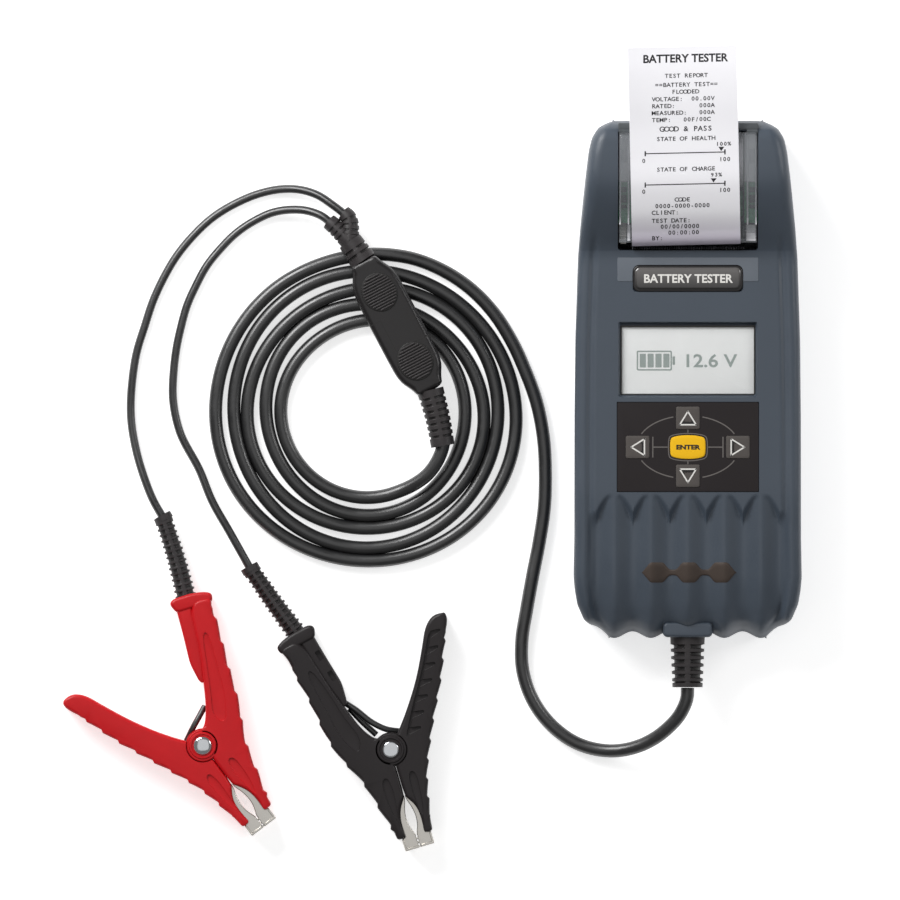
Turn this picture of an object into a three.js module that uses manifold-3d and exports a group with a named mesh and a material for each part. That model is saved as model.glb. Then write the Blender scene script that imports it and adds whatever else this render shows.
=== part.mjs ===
// A handheld battery tester with a built-in receipt printer, its coiled test cable, the in-line
// connector and two spring clamps. Millimetres, +Z up. The origin is the middle of the tester's flat
// underside, +Y runs towards the printer and +X to the right of the keypad.
import * as THREE from "three";
import { mergeVertices } from "three/addons/utils/BufferGeometryUtils.js";
import Module from "manifold-3d";

const wasm = await Module();
wasm.setup();

// ---- driving dimensions -------------------------------------------------------------------------
const GAP = 0.3; // clearance kept between neighbouring pieces
const WALL = 2.4; // moulded wall
const SPLIT_Z = 22; // where the two shells of the case meet
const FACE_Z = 48; // flat control face
const HEAD_TOP_Z = 68.4; // crest of the printer hump
const CASE_END_Y = 134; // half length of the case
const CASE_TALL = 90; // taller than the case, for cutting

const WINDOW = { x: 36.6, y0: 66.6, y1: 129.2 }; // printer bay, under the clear cover
const SCREEN = { x: 36, y0: -9.8, y1: 29.4, depth: 1.6, border: 2.6 };
const KEYPAD = { x: 37.1, y0: -59.5, y1: -12.4, depth: 1 };
const LCD = {
  x: 36.5, y0: -13, y1: 32, z0: 40.4, z1: 44.6, glassX: 33, glassY0: -6.8, glassY1: 26, glassZ: 45.9,
};
const BADGE = { x: 28.8, y0: 45, y1: 59, depth: 1.2 };
const INLAY = { y: -101.4, lobe: 5.25, spread: 16.4, depth: 0.8, thick: 1.2 };
const KEY_TOP = FACE_Z + 0.4;
const KEY_BOTTOM = 39.5;
const KEY_STEM = { long: 3, radius: 3.2 };
const SWITCH = { radius: 2, gap: 0.7 };
const KEY_CLEARANCE = 0.5;

const BOARD = { x: 48, y: 62, z: 36.9, thick: 1.6 };
const CELL = { radius: 7.1, length: 49.2, pitch: 15.2, z: 10.4, y: -39.8, count: 6, tip: 2.7, tipLong: 1.2 };
const DOOR = { x: 46, y0: -70, y1: -10, thick: 2 };
const BAY_WALL_TOP = 17;

const COVER_HINGE = { y: 128.6, z: 66.3 };
const COVER = { x: 36.2, y0: 70.6, thick: 2.2 };
const PLATEN = { y: 75.5, z: 44.8, radius: 4.5, half: 28.6, axle: 1.8, left: -31.8, right: 34.6 };
const GEAR = { teeth: 16, root: 4.1, tip: 5.5, thick: 3, x: -35.2, pitchGap: 9.9, hub: 1.6, hubLong: 3 };
const MOTOR = { x: GEAR.x - 4 - GAP, long: 10, radius: 7.5, drop: 4, bore: 2.2 };
const ROLL = { y: 113.6, z: 48, radius: 14.2, core: 6.2, half: 28.6 };

const RELIEF = { y0: -161.2, y1: -130, z: 24, thin: 7.8, thick: 9.1, flange: 11.5, flangeLong: 3 };
const OUTLET = { y0: -140, radius: 9.6, room: 12 }; // hole for the strain relief, and room for its flange
const CABLE_RADIUS = 3.5;
const LEAD_RADIUS = 2.15;

const COIL = { x: -166.1, y: -18.1, inner: 51, outer: 87.1, height: 7 };
const COIL_TURN = { first: 82.5, pitch: 8.5, from: 4.17, to: 4.56 };
const LINK = { x: -151.9, y: 27.6, z: 14.4, dx: 0.461, dy: -0.888, half: 39.4, width: 12.9, thick: 13.6 };
const LINK_STEP = { near: -6, far: 12, across: -6.5, gap: 0.4 };
const LINK_BOOT = { foot: 4.6, neck: 6.2, root: 6.6, leg: 4.4, legEnd: 2.9, footGap: 1.9, legGap: 2.2 };

const CLAMP = {
  thick: 20, boss: 8.4, hub: 9.2, ear: 4.7, rivet: 3, head: 4.9, headTall: 1.6, jaw0: 3, jaw1: 17,
  spring: 6.2, springTall: 3,
};
const RED_CLAMP = { name: "red", x: -253.4, y: -192, turn: 37, side: 1, bendFixed: 0, bendMoving: 0 };
const BLACK_CLAMP = {
  name: "black", x: -155.1, y: -194.1, turn: 16.7, side: -1, bendFixed: 8.6, bendMoving: -2.5,
};

// ---- finishes -----------------------------------------------------------------------------------
const finish = (color, roughness, metalness = 0, extra = {}) =>
  new THREE.MeshStandardMaterial({ color, roughness, metalness, ...extra });
const FINISH = {
  slate: finish("#4a525b", 0.55),
  clear: finish("#c9cfd2", 0.15, 0, { transparent: true, opacity: 0.35 }),
  black: finish("#171719", 0.35),
  cable: finish("#1b1b1d", 0.3),
  rubber: finish("#232325", 0.8),
  brown: finish("#564c44", 0.6),
  overlay: finish("#2d2827", 0.6),
  keyGrey: finish("#57524f", 0.6),
  amber: finish("#fdb813", 0.55),
  screen: finish("#dfe1e0", 0.2),
  board: finish("#2f6f4a", 0.6),
  frameGrey: finish("#55595c", 0.6),
  ceramic: finish("#d8d8d2", 0.4),
  steel: finish("#b9bcc0", 0.3, 1),
  nickel: finish("#c9c4ba", 0.28, 1),
  paper: finish("#f4f4f2", 0.9),
  gearWhite: finish("#e6e4dc", 0.5),
  cell: finish("#8a8d90", 0.35),
  red: finish("#c41e25", 0.45),
  clampBlack: finish("#2a2829", 0.5),
};

// ---- building blocks ----------------------------------------------------------------------------
const part = new THREE.Group();
const toSolid = (geometry) => {
  const bare = geometry.index ? geometry.clone() : geometry;
  bare.deleteAttribute("normal");
  bare.deleteAttribute("uv");
  const merged = mergeVertices(bare, 1e-4);
  const mesh = { numProp: 3, vertProperties: merged.attributes.position.array };
  return new wasm.Manifold(new wasm.Mesh({ ...mesh, triVerts: new Uint32Array(merged.index.array) }));
};
const toGeometry = (solid) => {
  const mesh = solid.getMesh();
  const geometry = new THREE.BufferGeometry();
  geometry.setAttribute("position", new THREE.BufferAttribute(mesh.vertProperties, 3));
  geometry.setIndex(new THREE.BufferAttribute(mesh.triVerts, 1));
  return geometry;
};
const join = (...solids) => solids.reduce((whole, solid) => whole.add(solid));
const cut = (solid, ...tools) => tools.reduce((whole, tool) => whole.subtract(tool), solid);
const put = (name, solid, material, parent = part) => {
  const mesh = new THREE.Mesh(toGeometry(solid), material);
  mesh.name = name;
  parent.add(mesh);
  return mesh;
};
const shapeOf = (points) => new THREE.Shape(points.map(([x, y]) => new THREE.Vector2(x, y)));

// An outline in the XY plane carried from z0 to z1.
const prism = (points, z0, z1) => {
  const geometry = new THREE.ExtrudeGeometry(shapeOf(points), { depth: z1 - z0, bevelEnabled: false });
  return toSolid(geometry.translate(0, 0, z0));
};
// An outline in the YZ plane carried from x0 to x1.
const slab = (points, x0, x1) => {
  const geometry = new THREE.ExtrudeGeometry(shapeOf(points), { depth: x1 - x0, bevelEnabled: false });
  const turn = new THREE.Matrix4().makeBasis(
    new THREE.Vector3(0, 1, 0),
    new THREE.Vector3(0, 0, 1),
    new THREE.Vector3(1, 0, 0),
  );
  return toSolid(geometry.applyMatrix4(turn).translate(x0, 0, 0));
};
const box = (x0, x1, y0, y1, z0, z1) => {
  const geometry = new THREE.BoxGeometry(x1 - x0, y1 - y0, z1 - z0);
  return toSolid(geometry.translate((x0 + x1) / 2, (y0 + y1) / 2, (z0 + z1) / 2));
};
const rodX = (x0, x1, y, z, radius, sides = 20) =>
  toSolid(new THREE.CylinderGeometry(radius, radius, x1 - x0, sides).rotateZ(Math.PI / 2)
    .translate((x0 + x1) / 2, y, z));
const rodY = (y0, y1, x, z, radiusLow, radiusHigh = radiusLow, sides = 20) =>
  toSolid(new THREE.CylinderGeometry(radiusHigh, radiusLow, y1 - y0, sides).translate(x, (y0 + y1) / 2, z));
const rodZ = (z0, z1, x, y, radius, sides = 20) =>
  toSolid(new THREE.CylinderGeometry(radius, radius, z1 - z0, sides).rotateX(Math.PI / 2)
    .translate(x, y, (z0 + z1) / 2));
// A closed ring turned about Z.
const ring = (inner, outer, z0, z1, sides = 24) => {
  const profile = [[inner, z0], [outer, z0], [outer, z1], [inner, z1], [inner, z0]];
  const geometry = new THREE.LatheGeometry(profile.map(([r, z]) => new THREE.Vector2(r, z)), sides);
  return toSolid(geometry.rotateX(Math.PI / 2));
};
const roundedBox = (halfX, halfY, radius, steps = 3) => {
  const points = [];
  for (let corner = 0; corner < 4; corner++) {
    const sx = corner === 0 || corner === 3 ? 1 : -1;
    const sy = corner < 2 ? 1 : -1;
    for (let i = 0; i <= steps; i++) {
      const a = ((corner + i / steps) * Math.PI) / 2;
      const [cx, cy] = [sx * (halfX - radius), sy * (halfY - radius)];
      points.push([cx + radius * Math.cos(a), cy + radius * Math.sin(a)]);
    }
  }
  return points;
};
const moved = (points, x, y) => points.map(([px, py]) => [px + x, py + y]);
// A round bar along a smooth curve through hand-chosen points.
const tube = (points, radius, sides, steps) => {
  const circle = [];
  for (let i = 0; i < sides; i++) {
    const a = (2 * Math.PI * i) / sides;
    circle.push([radius * Math.cos(a), radius * Math.sin(a)]);
  }
  const path = new THREE.CatmullRomCurve3(points.map((p) => new THREE.Vector3(...p)), false, "centripetal");
  return toSolid(new THREE.ExtrudeGeometry(shapeOf(circle), { steps, extrudePath: path }));
};

// ---- case ---------------------------------------------------------------------------------------
// Half the plan outline, from the foot of the grip round to the head, drawn in by a wall.
const caseOutline = (inset) => {
  const half = [
    [0, -133.6], [40, -133.2], [45.3, -132.2], [49.5, -130.6], [54.3, -125.8], [57.6, -118.3], [58.9, -110.8],
    [59.6, -104], [59.1, -84], [59, -20], [58.6, 20], [57.2, 63], [56, 78], [54.4, 94], [53.1, 106],
    [51.6, 118], [50, 125], [46.6, 130.6], [41.5, 133.2], [38, CASE_END_Y], [0, CASE_END_Y],
  ];
  const drawn = half.map(([x, y]) => [
    Math.max(x - inset, 0),
    Math.sign(y) * Math.min(Math.abs(y), CASE_END_Y - inset),
  ]);
  return [...drawn, ...drawn.slice(1, -1).reverse().map(([x, y]) => [-x, y])];
};
// The side profile of the top, as [y, z] from the foot of the grip to the head.
const TOP_PROFILE = [
  [-133.4, 27], [-131.5, 33], [-127, 38], [-119, 42], [-107, 44.8], [-95, 46], [-60, FACE_Z], [66.4, FACE_Z],
  [71, 51.2], [77, 55], [86, 60.4], [93, 64.2], [99, 66.9], [105, HEAD_TOP_Z], [117, HEAD_TOP_Z], [126, 67.2],
  [130.5, 64.6], [133, 60.5], [CASE_END_Y, 55],
];
const topAt = (y) => {
  const next = TOP_PROFILE.findIndex(([py]) => py >= y);
  const [y0, z0] = TOP_PROFILE[Math.max(next - 1, 0)];
  const [y1, z1] = TOP_PROFILE[Math.max(next, 1)];
  return z0 + ((z1 - z0) * (y - y0)) / (y1 - y0);
};
const caseBlock = (inset, z0, z1) => {
  const top = TOP_PROFILE.map(([y, z]) => [
    Math.sign(y) * Math.min(Math.abs(y), CASE_END_Y - inset), z - inset,
  ]);
  const side = [[-CASE_END_Y + inset, z0], ...top, [CASE_END_Y - inset, z0]];
  const plan = prism(caseOutline(inset), z0, z1);
  return plan.intersect(slab(side, -CASE_TALL, CASE_TALL));
};
const aperture = (area, inset, z0, z1) =>
  box(-area.x + inset, area.x - inset, area.y0 + inset, area.y1 - inset, z0, z1);

const KEYS = [
  { name: "key_up", x: 0, y: -20.8, halfX: 6, halfY: 5.7 },
  { name: "key_down", x: 0, y: -51, halfX: 6, halfY: 5.7 },
  { name: "key_left", x: -26.2, y: -36, halfX: 6, halfY: 5.7 },
  { name: "key_right", x: 26.1, y: -36, halfX: 6, halfY: 5.7 },
  { name: "key_enter", x: 0, y: -36, halfX: 9.3, halfY: 6.2 },
];
const keyOutline = (key, grow) => moved(roundedBox(key.halfX + grow, key.halfY + grow, 1.6), key.x, key.y);
const lobedOutline = (grow) => {
  const points = [];
  const add = (cx, from, to, steps) => {
    for (let i = 0; i <= steps; i++) {
      const a = ((from + ((to - from) * i) / steps) * Math.PI) / 180;
      points.push([cx + (INLAY.lobe + grow) * Math.cos(a), INLAY.y + (INLAY.lobe + grow) * Math.sin(a)]);
    }
  };
  add(INLAY.spread, -130, 130, 8);
  add(0, 50, 130, 3);
  add(-INLAY.spread, 50, 310, 8);
  add(0, 230, 310, 3);
  return points;
};
const FINGER_RIB = { pitch: 19.15, y0: -104, y1: -62, width: 9, depth: 1.4 };
const SCREWS = [[-44, 116], [44, 116], [-48, -118], [48, -118]];
const SCREW = {
  head: 3.4, shank: 1.5, headZ: 1, seatZ: 3.4, tipZ: 20, socket: 1.4, socketDeep: 1.2, post: 4.6,
};
const THUMB = { x: 9, y0: DOOR.y0 + 4, y1: DOOR.y0 + 8, depth: 0.7 };

const buildCase = () => {
  const outlet = rodY(OUTLET.y0, RELIEF.y1 - GAP, 0, RELIEF.z, OUTLET.radius);
  const flangeRoom = rodY(
    RELIEF.y1 - GAP - 0.1, RELIEF.y1 + RELIEF.flangeLong + 2 * GAP, 0, RELIEF.z, OUTLET.room, OUTLET.room, 16,
  );
  let front = cut(caseBlock(0, SPLIT_Z + GAP, CASE_TALL), caseBlock(WALL, SPLIT_Z - 1, CASE_TALL));
  front = cut(
    front,
    aperture(WINDOW, 0, FACE_Z - 6, CASE_TALL),
    aperture(SCREEN, 0, FACE_Z - SCREEN.depth, CASE_TALL),
    aperture(SCREEN, SCREEN.border, FACE_Z - 10, CASE_TALL),
    aperture(KEYPAD, 0, FACE_Z - KEYPAD.depth, CASE_TALL),
    aperture(BADGE, 0, FACE_Z - BADGE.depth, CASE_TALL),
    prism(lobedOutline(GAP), topAt(INLAY.y) - INLAY.depth - 0.5, CASE_TALL),
    outlet,
    flangeRoom,
    ...KEYS.map((key) => prism(keyOutline(key, KEY_CLEARANCE), FACE_Z - 10, CASE_TALL)),
  );
  for (let i = -2; i < 2; i++) {
    const middle = (i + 0.5) * FINGER_RIB.pitch;
    const groove = slab(
      [[FINGER_RIB.y0 - 4, 60], [FINGER_RIB.y0, 45.2 - FINGER_RIB.depth], [FINGER_RIB.y1, 60]],
      middle - FINGER_RIB.width / 2,
      middle + FINGER_RIB.width / 2,
    );
    const shallow = box(-60, 60, -200, 200, 44, 60);
    front = cut(front, groove.intersect(shallow));
  }
  put("front_shell", front, FINISH.slate);

  const outer = caseBlock(0, 0, SPLIT_Z);
  const inner = caseBlock(WALL, WALL, SPLIT_Z + 1);
  const bayEnd = (y) => box(-DOOR.x - 2, DOOR.x + 2, y, y + 1.6, WALL - 0.2, BAY_WALL_TOP);
  const posts = SCREWS.map(([x, y]) => rodZ(WALL - 0.2, SPLIT_Z - 0.4, x, y, SCREW.post, 12));
  let rear = join(cut(outer, inner), bayEnd(DOOR.y0 + 1), bayEnd(DOOR.y1 - 2.6), ...posts);
  rear = cut(
    rear,
    box(-DOOR.x, DOOR.x, DOOR.y0, DOOR.y1, -1, DOOR.thick + GAP),
    box(-DOOR.x + 0.6, DOOR.x - 0.6, DOOR.y0 + 3, DOOR.y1 - 3, -1, WALL + 1),
    outlet,
    flangeRoom,
    ...SCREWS.map(([x, y]) => rodZ(-1, SCREW.seatZ + GAP, x, y, SCREW.head + GAP, 12)),
    ...SCREWS.map(([x, y]) => rodZ(-1, SPLIT_Z + 1, x, y, SCREW.shank + GAP, 10)),
  );
  put("rear_shell", rear, FINISH.slate);
  put("battery_door", doorSolid(), FINISH.slate);
  SCREWS.forEach(([x, y], i) => {
    const head = rodZ(SCREW.headZ, SCREW.seatZ, x, y, SCREW.head, 12);
    const shank = rodZ(SCREW.seatZ - 0.2, SCREW.tipZ, x, y, SCREW.shank, 10);
    const socket = rodZ(0, SCREW.headZ + SCREW.socketDeep, x, y, SCREW.socket, 6);
    put(`case_screw_${i + 1}`, cut(join(head, shank), socket), FINISH.steel);
  });
};
const doorSolid = () => {
  const plate = box(-DOOR.x + GAP, DOOR.x - GAP, DOOR.y0 + GAP, DOOR.y1 - GAP, 0, DOOR.thick);
  return cut(plate, box(-THUMB.x, THUMB.x, THUMB.y0, THUMB.y1, -1, THUMB.depth));
};

// ---- control face -------------------------------------------------------------------------------
const buildFace = () => {
  const window = aperture(SCREEN, 0.4, FACE_Z - SCREEN.depth + GAP, FACE_Z - 0.2);
  put("lcd_window", window, FINISH.clear);
  const module = join(
    box(-LCD.x, LCD.x, LCD.y0, LCD.y1, LCD.z0, LCD.z1),
    box(-LCD.glassX, LCD.glassX, LCD.glassY0, LCD.glassY1, LCD.z1 - 0.1, LCD.glassZ),
  );
  put("lcd_module", module, FINISH.screen);
  const sheet = cut(
    aperture(KEYPAD, 0.25, FACE_Z - KEYPAD.depth + 0.2, FACE_Z - 0.1),
    ...KEYS.map((key) => prism(keyOutline(key, 0.35), FACE_Z - 5, CASE_TALL)),
  );
  put("keypad_overlay", sheet, FINISH.overlay);
  KEYS.forEach((key) => {
    const cap = prism(keyOutline(key, 0), KEY_BOTTOM + KEY_STEM.long, KEY_TOP);
    const stem = rodZ(KEY_BOTTOM, KEY_BOTTOM + KEY_STEM.long + 0.2, key.x, key.y, KEY_STEM.radius, 12);
    put(key.name, join(cap, stem), key.name === "key_enter" ? FINISH.amber : FINISH.keyGrey);
  });
  const badgeHalf = (BADGE.y1 - BADGE.y0) / 2 - GAP;
  const badge = moved(roundedBox(BADGE.x - GAP, badgeHalf, 1.5), 0, (BADGE.y0 + BADGE.y1) / 2);
  put("badge_plate", prism(badge, FACE_Z - BADGE.depth + GAP, FACE_Z + 0.5), FINISH.black);
  const inlayBase = topAt(INLAY.y) - INLAY.depth;
  put("grip_inlay", prism(lobedOutline(0), inlayBase, inlayBase + INLAY.thick), FINISH.brown);
  const switchTop = KEY_BOTTOM - SWITCH.gap;
  const switches = KEYS.map((key) => rodZ(BOARD.z + 1, switchTop, key.x, key.y, SWITCH.radius, 8));
  const board = box(-BOARD.x, BOARD.x, -BOARD.y, BOARD.y, BOARD.z, BOARD.z + BOARD.thick);
  put("main_board", join(board, ...switches), FINISH.board);
};

// ---- cells --------------------------------------------------------------------------------------
const buildCells = () => {
  for (let i = 0; i < CELL.count; i++) {
    const x = (i - (CELL.count - 1) / 2) * CELL.pitch;
    const facing = i % 2 ? 1 : -1;
    const half = CELL.length / 2;
    const can = rodY(CELL.y - half, CELL.y + half, x, CELL.z, CELL.radius, CELL.radius, 16);
    const tipY = CELL.y + facing * half;
    const tip = rodY(tipY - CELL.tipLong, tipY + CELL.tipLong, x, CELL.z, CELL.tip, CELL.tip, 10);
    put(`cell_${i + 1}`, join(can, tip), FINISH.cell);
  }
};

// ---- printer ------------------------------------------------------------------------------------
// A spur gear on an axis along X, its first tooth turned by a fraction of the tooth pitch.
const gear = (x0, y, z, phase) => {
  const points = [];
  for (let i = 0; i < GEAR.teeth; i++) {
    const tooth = [[-0.36, GEAR.root], [-0.14, GEAR.tip], [0.14, GEAR.tip], [0.36, GEAR.root]];
    for (const [offset, radius] of tooth) {
      const a = ((i + phase + offset) * 2 * Math.PI) / GEAR.teeth;
      points.push([y + radius * Math.cos(a), z + radius * Math.sin(a)]);
    }
  }
  return slab(points, x0, x0 + GEAR.thick);
};
const coverProfile = () => {
  const between = TOP_PROFILE.filter(([y]) => y > COVER.y0 + 2 && y < COVER_HINGE.y - 3);
  const outer = [
    [COVER.y0, topAt(COVER.y0) + GAP],
    ...between.map(([y, z]) => [y, z + GAP]),
    [COVER_HINGE.y, COVER_HINGE.z],
  ];
  const inner = outer.map(([y, z]) => [y, z - COVER.thick]).reverse();
  return [...outer, ...inner];
};
const buildPrinter = () => {
  const cheek = [[68.4, 40.5], [79.5, 40.5], [81.5, 55.4], [76, 53.2], [COVER.y0, 50.6], [68.4, 50]];
  const axleHole = rodX(-60, 60, PLATEN.y, PLATEN.z, PLATEN.axle + 0.35, 20);
  const cheeks = [slab(cheek, -31.6, -29.7), slab(cheek, 30.2, 35.6)];
  const cover = cut(join(slab(coverProfile(), -COVER.x, COVER.x), ...cheeks), axleHole);
  put("printer_cover", cover, FINISH.clear);

  const roller = join(
    rodX(-PLATEN.half, PLATEN.half, PLATEN.y, PLATEN.z, PLATEN.radius, 24),
    rodX(PLATEN.left, PLATEN.right, PLATEN.y, PLATEN.z, PLATEN.axle, 20),
  );
  put("platen_roller", roller, FINISH.rubber);
  put("platen_gear", gear(GEAR.x, PLATEN.y, PLATEN.z, 0), FINISH.gearWhite);
  const feedY = PLATEN.y + GEAR.pitchGap;
  const hub = rodX(GEAR.x - GEAR.hubLong, GEAR.x + 0.1, feedY, PLATEN.z, GEAR.hub, 14);
  put("feed_gear", join(gear(GEAR.x, feedY, PLATEN.z, 0.5), hub), FINISH.gearWhite);
  const can = rodX(MOTOR.x - MOTOR.long, MOTOR.x, feedY, PLATEN.z - MOTOR.drop, MOTOR.radius);
  const shaftHole = rodX(MOTOR.x - 2, MOTOR.x + 1, feedY, PLATEN.z, MOTOR.bore, 14);
  put("stepper_motor", cut(can, shaftHole), FINISH.steel);

  const tub = { x: 30.4, y0: 82, y1: 128.4, z0: 27, z1: 52 };
  const rollRoom = rodX(-29.2, 29.2, ROLL.y, ROLL.z, ROLL.radius + 1, 28);
  const frameBody = box(-tub.x, tub.x, tub.y0, tub.y1, tub.z0, tub.z1);
  const pocket = box(-29.2, 29.2, 84, 98, 30, 60);
  put("printer_frame", cut(frameBody, rollRoom, pocket), FINISH.frameGrey);
  put("print_head", box(-29, 29, 71, 79.5, 30, PLATEN.z - PLATEN.radius - GAP), FINISH.ceramic);
  const bar = [[67.2, 43], [68.6, 43], [68.6, 50.6], [67.9, 51.4], [67.2, 50.6]];
  put("tear_bar", slab(bar, -29.2, 29.2), FINISH.steel);
  put("printer_board", box(-28.6, 28.6, 84.4, 97.6, 46, 47.6), FINISH.board);

  const roll = cut(
    rodX(-ROLL.half, ROLL.half, ROLL.y, ROLL.z, ROLL.radius, 32),
    rodX(-ROLL.half - 1, ROLL.half + 1, ROLL.y, ROLL.z, ROLL.core, 20),
  );
  put("paper_roll", roll, FINISH.paper);
  const strip = new THREE.Group();
  strip.position.set(-0.9, COVER.y0 - 1, 0);
  strip.rotation.z = (1.3 * Math.PI) / 180;
  part.add(strip);
  const top = [
    [0, 46], [0, 52.4], [1.2, 55.2], [7.6, 59.2], [16.6, 64.6], [24, 67.6], [31, 69.6], [47, 70.1],
    [60, 70.2],
    [76, 71], [90, 70.6], [103, 68.8],
  ];
  const bottom = top.map(([y, z]) => [y + 0.24, z - 0.2]).reverse();
  put("paper_strip", slab([...top, ...bottom], -28.3, 28.3), FINISH.paper, strip);
};

// ---- cable --------------------------------------------------------------------------------------
const CABLE_ROUTE = [
  [0, -161.8, 24], [-0.2, -166.6, 23.8], [-3.2, -174.4, 22.4], [-11.4, -183.9, 18.6], [-24.6, -192, 12.6],
  [-39.3, -194.9, 7.4], [-56.9, -191.3, 4.2], [-71.5, -181, 3.6], [-81.8, -166.3, 3.6], [-86.2, -151.7, 3.6],
  [-86.5, -137, 3.6],
  [-84, -120.9, 3.6], [-81.1, -104.7, 3.6], [-77.4, -85.6, 3.6], [-74.8, -68, 3.6], [-74.2, -50.4, 3.6],
  [-74.9, -32.4, 3.6],
];
const RED_LEAD_ROUTE = [
  [-178.1, 85, 12.4], [-184.8, 90.2, 10.6], [-193.9, 96.1, 7.6], [-202.9, 98.7, 5], [-211.9, 99, 3.2],
  [-222.7, 97, 2.3], [-235.3, 92, 2.2], [-247.9, 84.4, 2.2], [-258.7, 74.4, 2.2], [-267.7, 63.2, 2.2],
  [-274, 52.4, 2.2], [-279.4, 40.7, 2.2], [-283.9, 27.1, 2.2], [-288, 13.7, 2.2], [-290.2, 0.2, 2.2],
  [-290.9, -21.8, 2.6], [-288.3, -37.5, 4.6], [-283.6, -53.2, 7.6], [-279.4, -63.6, 9.4], [-273.3, -74.3, 10],
];
const BLACK_LEAD_ROUTE = [
  [-185.8, 80.6, 12.4], [-190.3, 84.3, 11.2], [-198.4, 87.5, 8.4], [-207.4, 88.2, 5.8], [-217.3, 86.6, 3.6],
  [-226.3, 82.5, 2.4], [-236.2, 75.8, 2.2], [-244.3, 67.7, 2.2], [-251.5, 58.7, 2.2], [-256.9, 48.8, 2.2],
  [-261.4, 38.9, 2.2], [-265, 26.3, 2.2], [-267.3, 15.4, 2.2], [-268.6, 4.7, 2.2], [-269, -11.3, 2.2],
  [-265.8, -27, 2.6], [-254.9, -48.5, 4.8], [-248.8, -63.6, 7], [-239.2, -80.6, 9.2], [-227.8, -100.9, 10],
];
const BOOT_END = { radius: 2.9, rootRadius: 5.2, rootGap: 1.2 };

// The last half turn of the coil, which climbs to the connector's boot.
const LINK_APPROACH = [
  [-142.3, -55.1, 9.3], [-135.6, -50, 11.6], [-130.7, -43.2, 13.4], [-128.1, -36.6, 14.2],
  [-127.4, -33.4, 14.4],
];
const innerRun = () => {
  const points = [];
  const count = 11;
  for (let i = 0; i <= count; i++) {
    const turn = COIL_TURN.from + ((COIL_TURN.to - COIL_TURN.from) * i) / count;
    const radius = COIL_TURN.first - COIL_TURN.pitch * turn;
    const angle = Math.PI / 2 + 2 * Math.PI * turn;
    const climb = Math.max(0, i / count - 0.6) / 0.4;
    const z = CABLE_RADIUS + 0.1 + 3.2 * climb * climb;
    points.push([COIL.x + radius * Math.cos(angle), COIL.y + radius * Math.sin(angle), z]);
  }
  return [...points, ...LINK_APPROACH];
};
const cone = (from, to, radiusFrom, radiusTo, sides = 14) => {
  const start = new THREE.Vector3(...from);
  const end = new THREE.Vector3(...to);
  const length = start.distanceTo(end);
  const geometry = new THREE.CylinderGeometry(radiusTo, radiusFrom, length, sides);
  const turn = new THREE.Quaternion().setFromUnitVectors(
    new THREE.Vector3(0, 1, 0),
    end.clone().sub(start).normalize(),
  );
  geometry.applyQuaternion(turn);
  const middle = start.clone().add(end).multiplyScalar(0.5);
  return toSolid(geometry.translate(middle.x, middle.y, middle.z));
};
// A point of the connector: along its axis from the clamp leads to the cable, and across it.
const linkPoint = (along, across, z = LINK.z) => [
  LINK.x + along * LINK.dx - across * LINK.dy,
  LINK.y + along * LINK.dy + across * LINK.dx,
  z,
];
const linkPlate = (points, z0, z1) => prism(points.map(([a, c]) => linkPoint(a, c).slice(0, 2)), z0, z1);

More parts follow.
